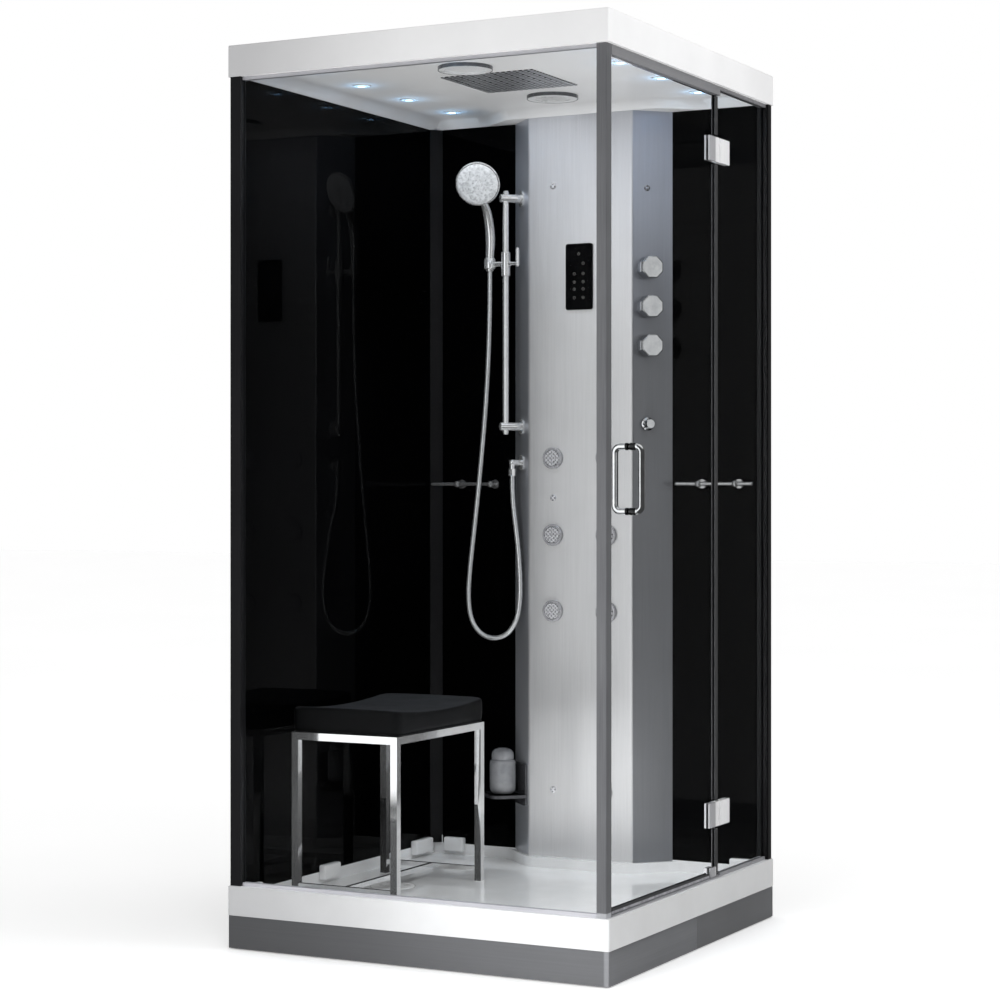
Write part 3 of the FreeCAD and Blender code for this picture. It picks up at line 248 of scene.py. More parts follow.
gx = m.math("SINE", m.math("MULTIPLY", m.math("ADD", sep.outputs["X"], sep.outputs["Z"]), 2 * math.pi / 0.0105))
gz = m.math("SINE", m.math("MULTIPLY", m.math("SUBTRACT", sep.outputs["X"], sep.outputs["Z"]), 2 * math.pi / 0.0105))
dots = m.math("MULTIPLY", m.math("ADD", gx, 1.0), m.math("ADD", gz, 1.0))
m.set(Metallic=0.30, Base_Color=m.ramp(m.math("MULTIPLY", dots, 0.25), srgb(176, 176, 179), srgb(84, 84, 87), 0.34, 0.60), Roughness=m.rng(m.noise(80), 0.24, 0.34))
m.set(Normal=m.bump(dots, 0.2, 0.0008))
M["jet"] = m.m
M["brass"] = brushed("drawn_brass", (0.55, 0.38, 0.16), (0.72, 0.54, 0.26), 0.22, 0.4, (30, 30, 30), 1.0, 1.0, 0.1)
M["steel"] = brushed("brushed_stainless", (0.42, 0.43, 0.44), (0.60, 0.61, 0.62), 0.28, 0.42, (8, 8, 300), 1.0, 1.0, 0.12)
M["rubber"] = plastic("seal_rubber", (0.030, 0.030, 0.033), (0.055, 0.055, 0.058), 0.45, 0.6, 60.0, 0.1)
m = Mat("spray_plate")
cells = m.new("ShaderNodeTexVoronoi")
cells.inputs["Scale"].default_value = 150
m.l.new(m.co.outputs["Object"], cells.inputs["Vector"])
petals = m.noise(55, detail=1, distortion=1.6)
m.set(Base_Color=m.ramp(m.math("ADD", m.math("MULTIPLY", petals, 0.6), m.math("MULTIPLY", cells.outputs["Distance"], 0.5)), (0.36, 0.37, 0.38), (0.56, 0.57, 0.58), 0.34, 0.72), Roughness=m.rng(petals, 0.22, 0.36))
m.set(Normal=m.bump(m.math("ADD", petals, cells.outputs["Distance"]), 0.35, 0.0012))
M["spray"] = m.m

# rain head: dark nozzle rows on brushed steel
m = Mat("rain_nozzle_plate")
sep = m.new("ShaderNodeSeparateXYZ")
m.l.new(m.co.outputs["Object"], sep.inputs[0])
gx = m.math("SINE", m.math("MULTIPLY", sep.outputs["X"], 2 * math.pi / 0.0155))
gy = m.math("SINE", m.math("MULTIPLY", sep.outputs["Y"], 2 * math.pi / 0.0155))
dots = m.math("MULTIPLY", m.math("ADD", gx, 1.0), m.math("ADD", gy, 1.0))
m.set(Metallic=0.55, Base_Color=m.ramp(m.math("MULTIPLY", dots, 0.25), srgb(178, 179, 182), srgb(26, 26, 28), 0.22, 0.46), Roughness=m.rng(m.noise(90), 0.26, 0.40))
m.set(Normal=m.bump(dots, 0.25, 0.0010))
M["rain"] = m.m



def tint_by_place(mat, rules):
    """Multiplies the base colour where an Object coordinate lies past a value: (axis, from, to, colour before, colour after)."""
    t = mat.node_tree
    pr = t.nodes["Principled BSDF"]
    co = t.nodes.new("ShaderNodeTexCoord")
    sep = t.nodes.new("ShaderNodeSeparateXYZ")
    t.links.new(co.outputs["Object"], sep.inputs[0])
    for axis, start, end, before, after in rules:
        mr = t.nodes.new("ShaderNodeMapRange")
        mr.interpolation_type = "SMOOTHSTEP"
        mr.inputs["From Min"].default_value = start
        mr.inputs["From Max"].default_value = end
        t.links.new(sep.outputs[axis], mr.inputs["Value"])
        cm = t.nodes.new("ShaderNodeMix")
        cm.data_type = "RGBA"
        t.links.new(mr.outputs["Result"], cm.inputs["Factor"])
        cm.inputs["A"].default_value = (*before, 1)
        cm.inputs["B"].default_value = (*after, 1)
        mul = t.nodes.new("ShaderNodeMix")
        mul.data_type = "RGBA"
        mul.blend_type = "MULTIPLY"
        mul.inputs["Factor"].default_value = 1.0
        link = pr.inputs["Base Color"].links[0]
        t.links.new(link.from_socket, mul.inputs["A"])
        t.links.new(cm.outputs["Result"], mul.inputs["B"])
        t.links.new(mul.outputs["Result"], pr.inputs["Base Color"])


def tint_where(mat, places, colour):
    """Multiplies the base colour by a colour where every place holds: (axis, coordinate with no effect, coordinate with full effect)."""
    t = mat.node_tree
    pr = t.nodes["Principled BSDF"]
    co = t.nodes.new("ShaderNodeTexCoord")
    sep = t.nodes.new("ShaderNodeSeparateXYZ")
    t.links.new(co.outputs["Object"], sep.inputs[0])
    total = None
    for axis, none_at, full_at in places:
        mr = t.nodes.new("ShaderNodeMapRange")
        mr.interpolation_type = "SMOOTHSTEP"
        mr.inputs["From Min"].default_value = min(none_at, full_at)
        mr.inputs["From Max"].default_value = max(none_at, full_at)
        mr.inputs["To Min"].default_value = 0.0 if full_at > none_at else 1.0
        mr.inputs["To Max"].default_value = 1.0 if full_at > none_at else 0.0
        t.links.new(sep.outputs[axis], mr.inputs["Value"])
        if total is None:
            total = mr.outputs["Result"]
        else:
            both = t.nodes.new("ShaderNodeMath")
            both.operation = "MULTIPLY"
            t.links.new(total, both.inputs[0])
            t.links.new(mr.outputs["Result"], both.inputs[1])
            total = both.outputs[0]
    mul = t.nodes.new("ShaderNodeMix")
    mul.data_type = "RGBA"
    mul.blend_type = "MULTIPLY"
    t.links.new(total, mul.inputs["Factor"])
    link = pr.inputs["Base Color"].links[0]
    t.links.new(link.from_socket, mul.inputs["A"])
    mul.inputs["B"].default_value = (*colour, 1)
    t.links.new(mul.outputs["Result"], pr.inputs["Base Color"])


WHITE = (1.0, 1.0, 1.0)
# painted highlight: the upper part of the column's right chamfer is brightened in its base colour
tint_where(M["column"], [("X", 0.1500, 0.1520), ("Z", 1.30, 2.02)], (1.75, 1.80, 1.92))
# painted shade: the tray rim's front face darkens towards the left, away from the front light
tint_where(M["acrylic"], [("Y", -0.4975, -0.4988), ("X", 0.30, -0.50)], (0.60, 0.60, 0.605))
# painted shade: the tray rim's right-facing side is darkened
tint_where(M["acrylic"], [("X", 0.4975, 0.4988)], (0.80, 0.80, 0.80))
# painted shade: the canopy's front face darkens towards the left, away from the front light
tint_where(M["canopy"], [("Y", -0.4975, -0.4988), ("X", 0.05, -0.50)], (0.66, 0.66, 0.665))
# painted shade: the ceiling darkens near the left wall
tint_where(M["ceiling"], [("X", -0.405, -0.450)], (0.74, 0.745, 0.76))
# painted light: the ceiling's right part is brightened
tint_where(M["ceiling"], [("X", -0.10, 0.40)], (1.11, 1.11, 1.11))
# painted shade: the jets on the column's right chamfer are darkened with it
tint_where(M["jet"], [("X", 0.150, 0.155)], (0.45, 0.45, 0.46))
# painted shade: the wall profiles darken towards the back of the cabin
tint_where(M["dark"], [("Y", 0.40, 0.42)], (0.48, 0.48, 0.48))
# painted light and shade on the column: right chamfer shaded, left chamfer shaded blue-grey, front face lit brighter on
# the left, top and bottom ends brightened
tint_by_place(M["column"], [("X", 0.1500, 0.1520, WHITE, (0.47, 0.48, 0.50)), ("X", -0.1520, -0.1500, (0.80, 0.82, 0.86), WHITE), ("X", -0.15, 0.15, (1.22, 1.22, 1.22), (0.88, 0.88, 0.88)), ("Z", 1.45, 2.05, WHITE, (1.20, 1.22, 1.27)), ("Z", 0.10, 0.75, (1.28, 1.28, 1.28), WHITE)])
tint_by_place(M["handle"], [("X", 0.4712, 0.4718, WHITE, (0.05, 0.05, 0.05)), ("X", 0.4978, 0.4984, WHITE, (20.0, 20.0, 20.0))])
# painted shade and light on the skirt: the front darkens towards the left, the right-facing side is brightened
tint_by_place(M["skirt"], [("X", -0.50, 0.42, (0.50, 0.50, 0.50), WHITE), ("X", 0.484, 0.490, WHITE, (1.75, 1.75, 1.75))])
# painted shade on the post's right-facing side; the white below z 0.16 is its real foot cap
tint_by_place(M["post"], [("X", 0.4935, 0.4945, WHITE, (0.50, 0.50, 0.51)), ("Z", 0.1600, 0.1625, (3.0, 3.0, 3.0), WHITE)])
# painted light on the frame rails: the lower rails and the front-facing rails are brightened
tint_by_place(M["rails"], [("Z", 0.60, 0.70, (1.35, 1.35, 1.36), WHITE), ("Y", -0.468, -0.464, (1.9, 1.9, 1.92), WHITE)])
tint_by_place(M["rubber"], [("Z", 0.1600, 0.1612, (8.0, 8.0, 8.1), WHITE)])
M["black_plastic"].node_tree.nodes["Principled BSDF"].inputs["Specular IOR Level"].default_value = 0.02

# black mirror glass: a gloss face over a dark coat, with faint waves
m = Mat("black_backed_glass")
n = m.noise(1.6, detail=3)
w = m.noise(2.4, detail=1)
m.set(Base_Color=m.ramp(n, (0.0002, 0.0002, 0.0002), (0.0004, 0.0004, 0.0005)), Roughness=m.rng(n, 0.008, 0.03), IOR=1.5)
m.set(Specular_IOR_Level=0.04, Normal=m.bump(w, 0.04, 0.0006))
M["black"] = m.m

# charcoal foam of the seat: fine grain
m = Mat("charcoal_foam")
g1 = m.noise(900, detail=2)
g2 = m.noise(14, detail=5)
cells = m.new("ShaderNodeTexVoronoi")
cells.inputs["Scale"].default_value = 700
m.l.new(m.co.outputs["Object"], cells.inputs["Vector"])
m.set(Base_Color=m.ramp(g2, (0.0022, 0.0023, 0.0025), (0.0044, 0.0046, 0.0050)), Roughness=m.rng(g2, 0.55, 0.68), Specular_IOR_Level=0.12)
m.set(Normal=m.bump(m.math("ADD", g1, cells.outputs["Distance"]), 0.22, 0.0004))
# painted light: upward-facing parts of the seat get a lighter top
up = m.new("ShaderNodeSeparateXYZ")
m.l.new(m.co.outputs["Normal"], up.inputs[0])
painted_top_light = m.new("ShaderNodeMix")
painted_top_light.data_type = "RGBA"
painted_top_light.blend_type = "ADD"
painted_top_light.inputs["B"].default_value = (0.020, 0.021, 0.023, 1)
m.l.new(m.rng(up.outputs["Z"], 0.0, 1.0, 0.75, 0.97), painted_top_light.inputs["Factor"])
m.l.new(m.p.inputs["Base Color"].links[0].from_socket, painted_top_light.inputs["A"])
m.l.new(painted_top_light.outputs["Result"], m.p.inputs["Base Color"])
M["foam"] = m.m

# bright hinge plates: polished; their pale colour is a painted reflection
M["plate"] = brushed("hinge_plate_painted_reflection", (0.86, 0.86, 0.87), (0.94, 0.94, 0.95), 0.10, 0.20, (40, 40, 40), 0.22, 1.0, 0.03)
# painted shade: the plates darken below y 0.136
tint_where(M["plate"], [("Y", 0.146, 0.136)], (0.45, 0.45, 0.46))

# lamp lens
m = Mat("lamp_lens")
n = m.noise(220, detail=3)
m.set(Base_Color=(0.75, 0.85, 1.0), Roughness=m.rng(n, 0.2, 0.4), Emission_Strength=3.0)
m.set(Emission_Color=m.ramp(n, (0.26, 0.52, 0.95), (0.62, 0.84, 1.0)))
M["lamp"] = m.m

# smoky bottle
m = Mat("smoky_bottle")
n = m.noise(30, detail=4)
m.set(Base_Color=m.ramp(n, srgb(104, 105, 108), srgb(122, 123, 126)), Roughness=m.rng(n, 0.14, 0.24), Transmission_Weight=0.25, IOR=1.45)
m.set(Normal=m.bump(m.noise(400), 0.04, 0.0002))
M["bottle"] = m.m

# dark glass of the shelf
m = Mat("smoked_shelf_glass")
n = m.noise(20, detail=4)
m.set(Base_Color=m.ramp(n, (0.02, 0.02, 0.022), (0.04, 0.04, 0.044)), Roughness=m.rng(n, 0.03, 0.09), IOR=1.5)
M["shelf"] = m.m

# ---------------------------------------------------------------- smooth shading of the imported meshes


def smooth_group():
    g = bpy.data.node_groups.new("smooth_by_angle", "GeometryNodeTree")
    g.interface.new_socket("Geometry", in_out="INPUT", socket_type="NodeSocketGeometry")
    g.interface.new_socket("Geometry", in_out="OUTPUT", socket_type="NodeSocketGeometry")
    i, o = g.nodes.new("NodeGroupInput"), g.nodes.new("NodeGroupOutput")
    weld = g.nodes.new("GeometryNodeMergeByDistance")
    weld.inputs["Distance"].default_value = 1e-6
    f = g.nodes.new("GeometryNodeSetShadeSmooth")
    f.domain = "FACE"
    f.inputs["Shade Smooth"].default_value = True
    e = g.nodes.new("GeometryNodeSetShadeSmooth")
    e.domain = "EDGE"
    a = g.nodes.new("GeometryNodeInputMeshEdgeAngle")
    c = g.nodes.new("FunctionNodeCompare")
    c.data_type = "FLOAT"
    c.operation = "LESS_THAN"
    c.inputs[1].default_value = math.radians(32)
    g.links.new(i.outputs[0], weld.inputs["Geometry"])
    g.links.new(weld.outputs["Geometry"], f.inputs["Geometry"])
    g.links.new(f.outputs["Geometry"], e.inputs["Geometry"])
    g.links.new(a.outputs["Unsigned Angle"], c.inputs[0])
    g.links.new(c.outputs[0], e.inputs["Shade Smooth"])
    g.links.new(e.outputs["Geometry"], o.inputs[0])
    return g


SMOOTH = smooth_group()


def shade(o):
    mod = o.modifiers.new("smooth", "NODES")
    mod.node_group = SMOOTH


FINISH = {
    "levelling_feet": "zinc", "base_frame": "zinc", "skirt_panels": "skirt", "shower_tray": "acrylic", "waste_trap": "pvc", "drain_cover": "white",
    "left_wall_panel": "black", "back_wall_panels": "black", "wall_profiles": "dark", "corner_post": "post", "front_glass": "glass", "side_glass": "glass",
    "frame_rails": "rails", "canopy_shell": "canopy", "ceiling_panel": "ceiling", "rain_head": "rain", "ceiling_speaker": "white", "fan_cover": "white",
    "fan_housing": "pvc", "fan_impeller": "black_plastic", "ceiling_lights": "white", "control_box": "pvc", "column_panel": "column", "column_back": "zinc",
    "control_panel": "black_plastic", "jet_bezels": "jet_ring", "plumbing": "brass", "temperature_knob": "chrome", "flow_knob": "chrome", "diverter_knob": "chrome",
    "jet_valve_knob": "chrome", "screw_caps": "jet", "slide_rail": "fitting", "rail_brackets": "fitting", "slider": "fitting", "slider_lever": "fitting",
    "hand_cradle": "fitting", "hand_shower": "fitting", "spray_face": "spray", "hose_outlet": "fitting", "shower_hose": "fitting", "corner_shelf": "shelf",
    "towel_bars": "bar", "steam_generator": "steel", "steam_outlet": "chrome", "hinge_fixed": "plate", "hinge_pins": "steel", "door_glass": "glass",
    "door_handle": "handle", "hinge_door": "plate", "door_seals": "rubber", "stool_seat": "foam", "stool_frame": "tube", "soap_bottle": "bottle"}
for name, o in nodes.items():
    key = FINISH.get(name, "jet" if name.startswith("jet_") else "chrome")
    mat = M[key]
    if not o.material_slots:
        o.data.materials.append(mat)
    for s in o.material_slots:
        s.material = mat
    shade(o)

# ---------------------------------------------------------------- mesh helpers


def obj_from(name, verts, faces, mat, smooth=True):
    me = bpy.data.meshes.new(name)
    me.from_pydata([tuple(v) for v in verts], [], faces)
    me.update()
    o = bpy.data.objects.new(name, me)
    scene.collection.objects.link(o)
    if isinstance(mat, (list, tuple)):
        for x in mat:
            me.materials.append(x)
    else:
        me.materials.append(mat)
    if smooth:
        me.shade_smooth()
    return o


def lathe(name, profile, mat, origin, axis, seg=64, closed=True):
    """Turned piece: profile of (radius, height) points round the axis from the origin."""
    verts, faces = [], []
    for r, z in profile:
        for k in range(seg):
            a = 2 * math.pi * k / seg
            verts.append((r * math.cos(a), r * math.sin(a), z))
    for i in range(len(profile) - 1):
        for k in range(seg):
            a, b = i * seg + k, i * seg + (k + 1) % seg
            faces.append((a, b, b + seg, a + seg))
    if closed:
        if profile[0][0] > 1e-7:
            faces.append(tuple(reversed(range(seg))))
        if profile[-1][0] > 1e-7:
            faces.append(tuple(range((len(profile) - 1) * seg, len(profile) * seg)))
    o = obj_from(name, verts, faces, mat)
    q = Vector((0, 0, 1)).rotation_difference(Vector(axis))
    o.data.transform(Matrix.Translation(Vector(origin)) @ q.to_matrix().to_4x4())
    bm = bmesh.new()
    bm.from_mesh(o.data)
    bmesh.ops.remove_doubles(bm, verts=bm.verts, dist=1e-7)
    bmesh.ops.recalc_face_normals(bm, faces=bm.faces)
    bm.to_mesh(o.data)
    bm.free()
    shade(o)
    return o


def join(name, parts):
    """Joins meshes that share one coordinate frame into one piece."""
    bm = bmesh.new()
    mats = []
    for p in parts:
        offset = len(mats)
        mats += [s.material for s in p.material_slots]
        me = p.data.copy()
        me.transform(p.matrix_world)
        for poly in me.polygons:
            poly.material_index += offset
        bm.from_mesh(me)
        bpy.data.meshes.remove(me)
    me = bpy.data.meshes.new(name)
    bm.to_mesh(me)
    bm.free()
    for x in mats:
        me.materials.append(x)
    o = bpy.data.objects.new(name, me)
    scene.collection.objects.link(o)
    for p in parts:
        bpy.data.objects.remove(p)
    return o


# ---------------------------------------------------------------- hose
RAIL = (LC[0] - 0.04525 * D, LC[1] - 0.04525 * D)
GRIP = (RAIL[0] - 0.048, RAIL[1])
OUTLET = (LC[0] - 0.027 * D, LC[1] - 0.027 * D)
ROUTE = [
    (GRIP[0], GRIP[1], 1.676),
    (GRIP[0], GRIP[1], 1.602),
    (-0.2715, 0.4028, 1.492),
    (-0.2765, 0.4020, 1.382),
    (-0.2843, 0.4010, 1.274),
    (-0.2940, 0.3996, 1.168),
    (-0.3046, 0.3980, 1.064),
    (-0.3156, 0.3965, 0.966),
    (-0.3256, 0.3950, 0.880),
    (-0.3305, 0.3940, 0.808),
    (-0.3224, 0.3932, 0.7487),
    (-0.2989, 0.3926, 0.7139),
    (-0.2690, 0.3922, 0.6980),
    (-0.2350, 0.3922, 0.6980),
    (-0.2051, 0.3928, 0.7139),
    (-0.1824, 0.3942, 0.7487),
    (-0.1750, 0.3964, 0.802),
    (-0.1768, 0.3994, 0.868),
    (-0.1845, 0.4032, 0.938),
    (-0.1960, 0.4086, 1.008),
    (OUTLET[0], OUTLET[1], 1.072),
    (OUTLET[0], OUTLET[1], 1.130),
]
HOSE_D = 0.013
line = bpy.data.curves.new("hose_line", "CURVE")
line.dimensions = "3D"
line.resolution_u = 24
sp = line.splines.new("NURBS")
sp.points.add(len(ROUTE) - 1)
for p, q in zip(sp.points, ROUTE):
    p.co = (*q, 1)
sp.order_u = 3
sp.use_endpoint_u = True
line_obj = bpy.data.objects.new("hose_line", line)
scene.collection.objects.link(line_obj)
bpy.context.view_layer.update()
line_mesh = bpy.data.meshes.new_from_object(line_obj)
path = [v.co.copy() for v in line_mesh.vertices]
bpy.data.objects.remove(line_obj)


def at_lengths(pts, step):
    """Positions and directions along the line at even steps."""
    out, d, i, left = [], 0.0, 0, 0.0
    total = sum((b - a).length for a, b in zip(pts, pts[1:]))
    count = max(2, int(round(total / step)))
    want = [total * k / count for k in range(count + 1)]
    run = 0.0
    for w in want:
        while i < len(pts) - 2 and run + (pts[i + 1] - pts[i]).length < w:
            run += (pts[i + 1] - pts[i]).length
            i += 1
        s = pts[i + 1] - pts[i]
        k = min(1.0, max(0.0, (w - run) / s.length))
        out.append((pts[i] + s * k, s.normalized()))
    return out


rings = at_lengths(path, 0.0012)
SEG = 16
verts, faces = [], []
ref = Vector((0, 1, 0))
for k, (p, t) in enumerate(rings):
    side = t.cross(ref).normalized()
    up = side.cross(t).normalized()
    r = HOSE_D / 2 * (1.0 if k % 3 != 2 else 0.90)
    for j in range(SEG):
        a = 2 * math.pi * j / SEG
        verts.append(p + side * (r * math.cos(a)) + up * (r * math.sin(a)))
for k in range(len(rings) - 1):
    for j in range(SEG):
        a, b = k * SEG + j, k * SEG + (j + 1) % SEG
        faces.append((a, b, b + SEG, a + SEG))
faces.append(tuple(reversed(range(SEG))))
faces.append(tuple(range((len(rings) - 1) * SEG, len(rings) * SEG)))
m = Mat("interlocked_hose")
n = m.noise(120, detail=4)
m.set(Metallic=0.86, Base_Color=m.ramp(n, (0.78, 0.79, 0.80), (0.88, 0.89, 0.90)), Roughness=m.rng(n, 0.14, 0.24))
hose = obj_from("hose_tube", verts, faces, m.m)
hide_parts("shower_hose")
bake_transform(hose)

# ---------------------------------------------------------------- stool seat: one soft moulding with a dished top
lo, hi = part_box("stool_seat")
cx, cy = (lo.x + hi.x) / 2, (lo.y + hi.y) / 2
hx, hy = (hi.x - lo.x) / 2, (hi.y - lo.y) / 2
NX, NY = 30, 44
verts, faces = [], []


def seat_xy(u, v, inset):
    """Point of a rounded rectangle's grid."""
    x, y = u * (hx - inset), v * (hy - inset)
    r = 0.022
    ex, ey = abs(x) - (hx - inset - r), abs(y) - (hy - inset - r)
    if ex > 0 and ey > 0:
        d = math.hypot(ex, ey)
        if d > r:
            x = math.copysign(hx - inset - r + ex * r / d, x)
            y = math.copysign(hy - inset - r + ey * r / d, y)
    return x, y


def seat_top(x, y):
    dish = 0.0135 * (1 - (y / hy) ** 2)
    crown = 0.0025 * (1 - (x / hx) ** 2)
    return hi.z - 0.0008 - dish - 0.0022 + crown * 0.8


def layer(z_of, inset):
    base = len(verts)
    for j in range(NY + 1):
        for i in range(NX + 1):
            u, v = 2 * i / NX - 1, 2 * j / NY - 1
            x, y = seat_xy(u, v, inset)
            verts.append((cx + x, cy + y, z_of(x, y)))
    return base


def border(base):
    ids = [base + i for i in range(NX + 1)]
    ids += [base + j * (NX + 1) + NX for j in range(1, NY + 1)]
    ids += [base + NY * (NX + 1) + i for i in range(NX - 1, -1, -1)]
    ids += [base + j * (NX + 1) for j in range(NY - 1, 0, -1)]
    return ids


top = layer(seat_top, 0.0085)
for j in range(NY):
    for i in range(NX):
        a = top + j * (NX + 1) + i
        faces.append((a, a + 1, a + NX + 2, a + NX + 1))
prev = border(top)
ring_src = [Vector(verts[i]) for i in prev]
levels = [(0.0040, -0.0008, 1), (0.0012, -0.0042, 1), (0.0002, -0.0100, 1), (0.0002, None, 0.012), (0.0026, None, 0.0085), (0.0032, None, 0.0070), (0.0006, None, 0.0050), (0.0012, None, 0.0016), (0.0050, None, 0.0)]
for inset, dz, zz in levels:
    ids = []
    for p in ring_src:
        ux, uy = p.x - cx, p.y - cy
        gx, gy = ux * hx / (hx - 0.0085), uy * hy / (hy - 0.0085)
        x, y = gx * (hx - inset) / hx, gy * (hy - inset) / hy
        z = p.z + dz if dz is not None else lo.z + zz
        verts.append((cx + x, cy + y, z))
        ids.append(len(verts) - 1)
    for k in range(len(ids)):
        q = (k + 1) % len(ids)
        faces.append((prev[k], ids[k], ids[q], prev[q]))
    prev = ids
faces.append(tuple(prev))
seat = obj_from("seat_pad", verts, faces, M["foam"])
bm = bmesh.new()
bm.from_mesh(seat.data)
bmesh.ops.recalc_face_normals(bm, faces=bm.faces)
bm.to_mesh(seat.data)
bm.free()
sub = seat.modifiers.new("sub", "SUBSURF")
sub.levels = sub.render_levels = 1
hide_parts("stool_seat")
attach(seat, "stool")

# ---------------------------------------------------------------- control panel marks, printed symbols whose faint glow is painted light
m = Mat("panel_marks")
n = m.noise(500)
# the marks' faint emission is painted light standing in for their lit print
m.set(Base_Color=(0.06, 0.06, 0.06), Roughness=m.rng(n, 0.3, 0.4), Emission_Strength=0.07)
m.set(Emission_Color=m.ramp(n, (0.44, 0.42, 0.40), (0.66, 0.62, 0.56)))
marks = m.m


def ring_mark(x, z, r, w, a0=0, a1=360, seg=24):
    v, f = [], []
    for k in range(seg + 1):
        a = math.radians(a0 + (a1 - a0) * k / seg)
        for rr in (r, r - w):
            v.append((x + rr * math.cos(a), 0.38985, z + rr * math.sin(a)))
    for k in range(seg):
        f.append((2 * k, 2 * k + 1, 2 * k + 3, 2 * k + 2))
    return v, f


def bar_mark(x0, z0, x1, z1, w):
    d = Vector((x1 - x0, z1 - z0))
    s = Vector((-d.y, d.x)).normalized() * w / 2
    pts = [(x0 + s.x, z0 + s.y), (x1 + s.x, z1 + s.y), (x1 - s.x, z1 - s.y), (x0 - s.x, z0 - s.y)]
    return [(x, 0.38985, z) for x, z in pts], [(0, 1, 2, 3)]


shapes = []
rows = [1.6845, 1.6575, 1.636, 1.6175, 1.595]
shapes.append(ring_mark(0.0, 1.7095, 0.0038, 0.0011, 120, 420))
shapes.append(bar_mark(0, 1.7095, 0, 1.7145, 0.0011))
for k, z in enumerate(rows):
    for s in ((1,) if k == 0 else (-1, 1)):
        x = 0.0128 * s
        shapes.append(ring_mark(x, z, 0.0040, 0.0009))
        if (k + (s > 0)) % 3 == 0:
            shapes.append(bar_mark(x - 0.002, z, x + 0.002, z, 0.0009))
            shapes.append(bar_mark(x, z - 0.002, x, z + 0.002, 0.0009))
        elif (k + (s > 0)) % 3 == 1:
            shapes.append(bar_mark(x - 0.002, z, x + 0.002, z, 0.0009))
        else:
            shapes.append(ring_mark(x, z, 0.0018, 0.0009))
v, f = [], []
for sv, sf in shapes:
    base = len(v)
    v += sv
    f += [tuple(i + base for i in q) for q in sf]
o = obj_from("panel_marks", v, f, marks, False)
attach(o, "cabin")

# ---------------------------------------------------------------- lamp lenses and glow
LIGHTS = [(x, y) for x in (-0.354, 0.354) for y in (-0.360, -0.123, 0.116, 0.348)] + [(0.005, -0.362)]
for k, (x, y) in enumerate(LIGHTS):
    o = lathe("lamp_lens_%d" % k, [(0.0, -0.0036), (0.006, -0.0035), (0.011, -0.0028), (0.0142, -0.0014), (0.0150, 0.0005)], M["lamp"], (x, y, 2.1), (0, 0, 1), 40, False)
    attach(o, "cabin")

# chrome walls of the two ceiling discs
for name, (x, y) in (("speaker_ring", (0.0, -0.235)), ("fan_ring", (0.0, 0.235))):
    o = lathe(name, [(0.0652, 0.0), (0.0657, -0.0010), (0.0657, -0.0088), (0.0652, -0.0092)], M["ring"], (x, y, 2.1), (0, 0, 1), 72, False)
    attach(o, "cabin")

# ---------------------------------------------------------------- stage, lights and world
# soft sides of the studio: direction, start and end of the falloff, strength
FLOAT_BASE, FLOAT_SIDES = 0.24, (((0.0, 0.0, 1.0), -0.15, 1.0, 0.85),)
OUTER_BASE, OUTER_SIDES = 0.06, (((-0.55, -0.83, 0.0), 0.86, 0.99, 0.45), ((0.2, 0.1, 0.97), 0.60, 0.98, 0.9), ((0.46, 0.88, 0.0), 0.90, 0.98, 0.15))
INNER_BASE, INNER_SIDES = 0.07, (((-0.45, -0.88, 0.0), 0.62, 0.95, 1.35), ((0.2, 0.1, 0.97), 0.55, 0.98, 0.8), ((0.887, -0.46, 0.06), 0.955, 0.990, 0.55))
bpy.ops.mesh.primitive_plane_add(size=60, location=(0, 0, -0.0005))
floor = bpy.context.object
floor.name = "floor"
m = Mat("studio_floor")
n = m.noise(0.8, detail=3)
m.set(Base_Color=m.ramp(n, (0.93, 0.93, 0.93), (0.95, 0.95, 0.95)), Roughness=0.6, Emission_Color=(1.0, 1.0, 1.0), Emission_Strength=0.24)
floor.data.materials.append(m.m)
floor.visible_glossy = False
floor.visible_transmission = False

world = bpy.data.worlds.new("studio")
scene.world = world
world.use_nodes = True
wt = world.node_tree
WN = wt.nodes


def backdrop(strength):
    x = WN.new("ShaderNodeBackground")
    x.inputs["Color"].default_value = (1, 1, 1, 1)
    if isinstance(strength, (int, float)):
        x.inputs["Strength"].default_value = strength
    else:
        wt.links.new(strength, x.inputs["Strength"])
    return x.outputs[0]


def wmath(op, a, b):
    x = WN.new("ShaderNodeMath")
    x.operation = op
    for i, v in enumerate((a, b)):
        if isinstance(v, (int, float)):
            x.inputs[i].default_value = v
        else:
            wt.links.new(v, x.inputs[i])
    return x.outputs[0]


def wmix(fac, a, b):
    x = WN.new("ShaderNodeMixShader")
    wt.links.new(fac, x.inputs[0])
    wt.links.new(a, x.inputs[1])
    wt.links.new(b, x.inputs[2])
    return x.outputs[0]


co = WN.new("ShaderNodeTexCoord")


def sides(total, boxes):
    """Backdrop brightness: a base and soft bright sides round the given directions."""
    for direction, lo_dot, hi_dot, power in boxes:
        dot = WN.new("ShaderNodeVectorMath")
        dot.operation = "DOT_PRODUCT"
        dot.inputs[1].default_value = Vector(direction).normalized()
        wt.links.new(co.outputs["Generated"], dot.inputs[0])
        mr = WN.new("ShaderNodeMapRange")
        mr.interpolation_type = "SMOOTHSTEP"
        mr.inputs["From Min"].default_value = lo_dot
        mr.inputs["From Max"].default_value = hi_dot
        mr.inputs["To Min"].default_value = 0.0
        mr.inputs["To Max"].default_value = power
        wt.links.new(dot.outputs["Value"], mr.inputs["Value"])
        total = wmath("ADD", mr.outputs["Result"], total)
    return backdrop(total)


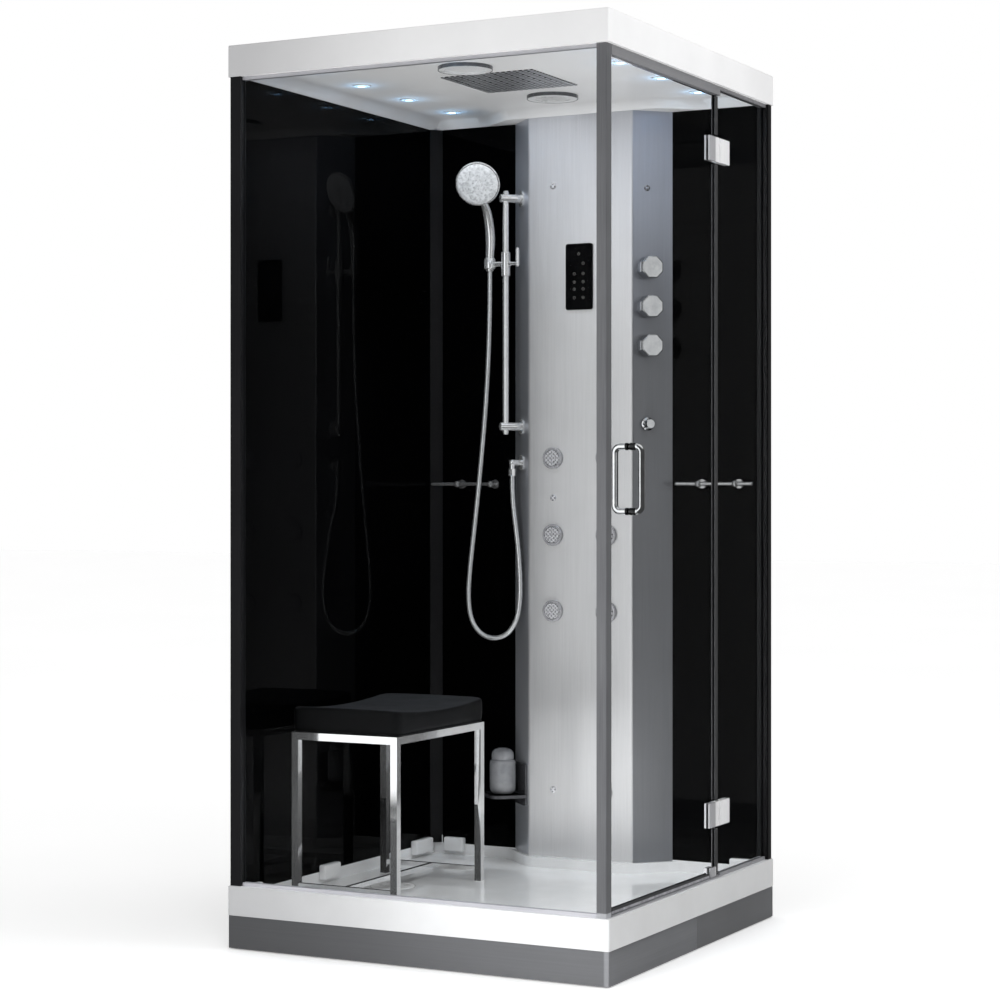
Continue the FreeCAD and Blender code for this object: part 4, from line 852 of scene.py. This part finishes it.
# the eye sees a white room; mirrors and matt surfaces each get their own soft studio
lp = WN.new("ShaderNodeLightPath")
mirror = wmix(wmath("GREATER_THAN", lp.outputs["Transmission Depth"], 2.5), sides(OUTER_BASE, OUTER_SIDES), sides(INNER_BASE, INNER_SIDES))
seen = wmix(wmath("GREATER_THAN", lp.outputs["Glossy Depth"], 0.5), backdrop(1.0), mirror)
full = wmix(wmath("GREATER_THAN", lp.outputs["Diffuse Depth"], 0.5), seen, sides(FLOAT_BASE, FLOAT_SIDES))
wt.links.new(full, WN["World Output"].inputs["Surface"])


def area(name, loc, target, size, power, color=(1, 1, 1), glossy=True, size_y=None):
    d = bpy.data.lights.new(name, "AREA")
    d.energy = power
    d.color = color
    d.shape = "RECTANGLE"
    d.size = size
    d.size_y = size_y or size
    o = bpy.data.objects.new(name, d)
    scene.collection.objects.link(o)
    o.location = loc
    o.rotation_euler = (Vector(target) - Vector(loc)).to_track_quat("-Z", "Y").to_euler()
    o.visible_glossy = glossy
    o.visible_camera = False
    o.visible_transmission = False
    return o


area("key_front", (0.45, -1.55, 0.80), (0.45, -0.5, 0.80), 0.5, 9.0, glossy=False, size_y=1.5)
area("key_right", (1.8, -0.2, 2.9), (0.5, 0.0, 2.15), 0.6, 12, glossy=False)
area("inside_top", (0.0, -0.05, 2.085), (0.0, -0.05, 0.0), 0.7, 6.0, (0.97, 0.98, 1.0), glossy=False)
area("inside_front", (0.0, -0.455, 1.15), (0.0, 0.4, 1.10), 0.6, 2.6, (1.0, 1.0, 1.0), glossy=False, size_y=1.7)
area("inside_floor", (0.12, -0.12, 0.16), (0.12, -0.12, 2.1), 0.7, 11.0, (1.0, 1.0, 1.0), glossy=False)
for k, (x, y) in enumerate(LIGHTS):
    d = bpy.data.lights.new("lamp_%d" % k, "SPOT")
    d.energy = 1.6
    d.color = (0.72, 0.86, 1.0)
    d.spot_size = math.radians(150)
    d.spot_blend = 0.8
    d.shadow_soft_size = 0.012
    o = bpy.data.objects.new("lamp_%d" % k, d)
    scene.collection.objects.link(o)
    o.location = (x, y, 2.094)
    o.visible_glossy = False
    o.visible_transmission = False
    d = bpy.data.lights.new("halo_%d" % k, "POINT")
    d.energy = 0.060
    d.color = (0.30, 0.62, 1.0)
    d.shadow_soft_size = 0.006
    o = bpy.data.objects.new("halo_%d" % k, d)
    scene.collection.objects.link(o)
    o.location = (x, y, 2.080)
    o.visible_glossy = False
    o.visible_camera = False
    o.visible_transmission = False

scene.view_settings.view_transform = "Standard"
scene.view_settings.look = "None"
scene.view_settings.exposure = 0.0
scene.view_settings.gamma = 1.0
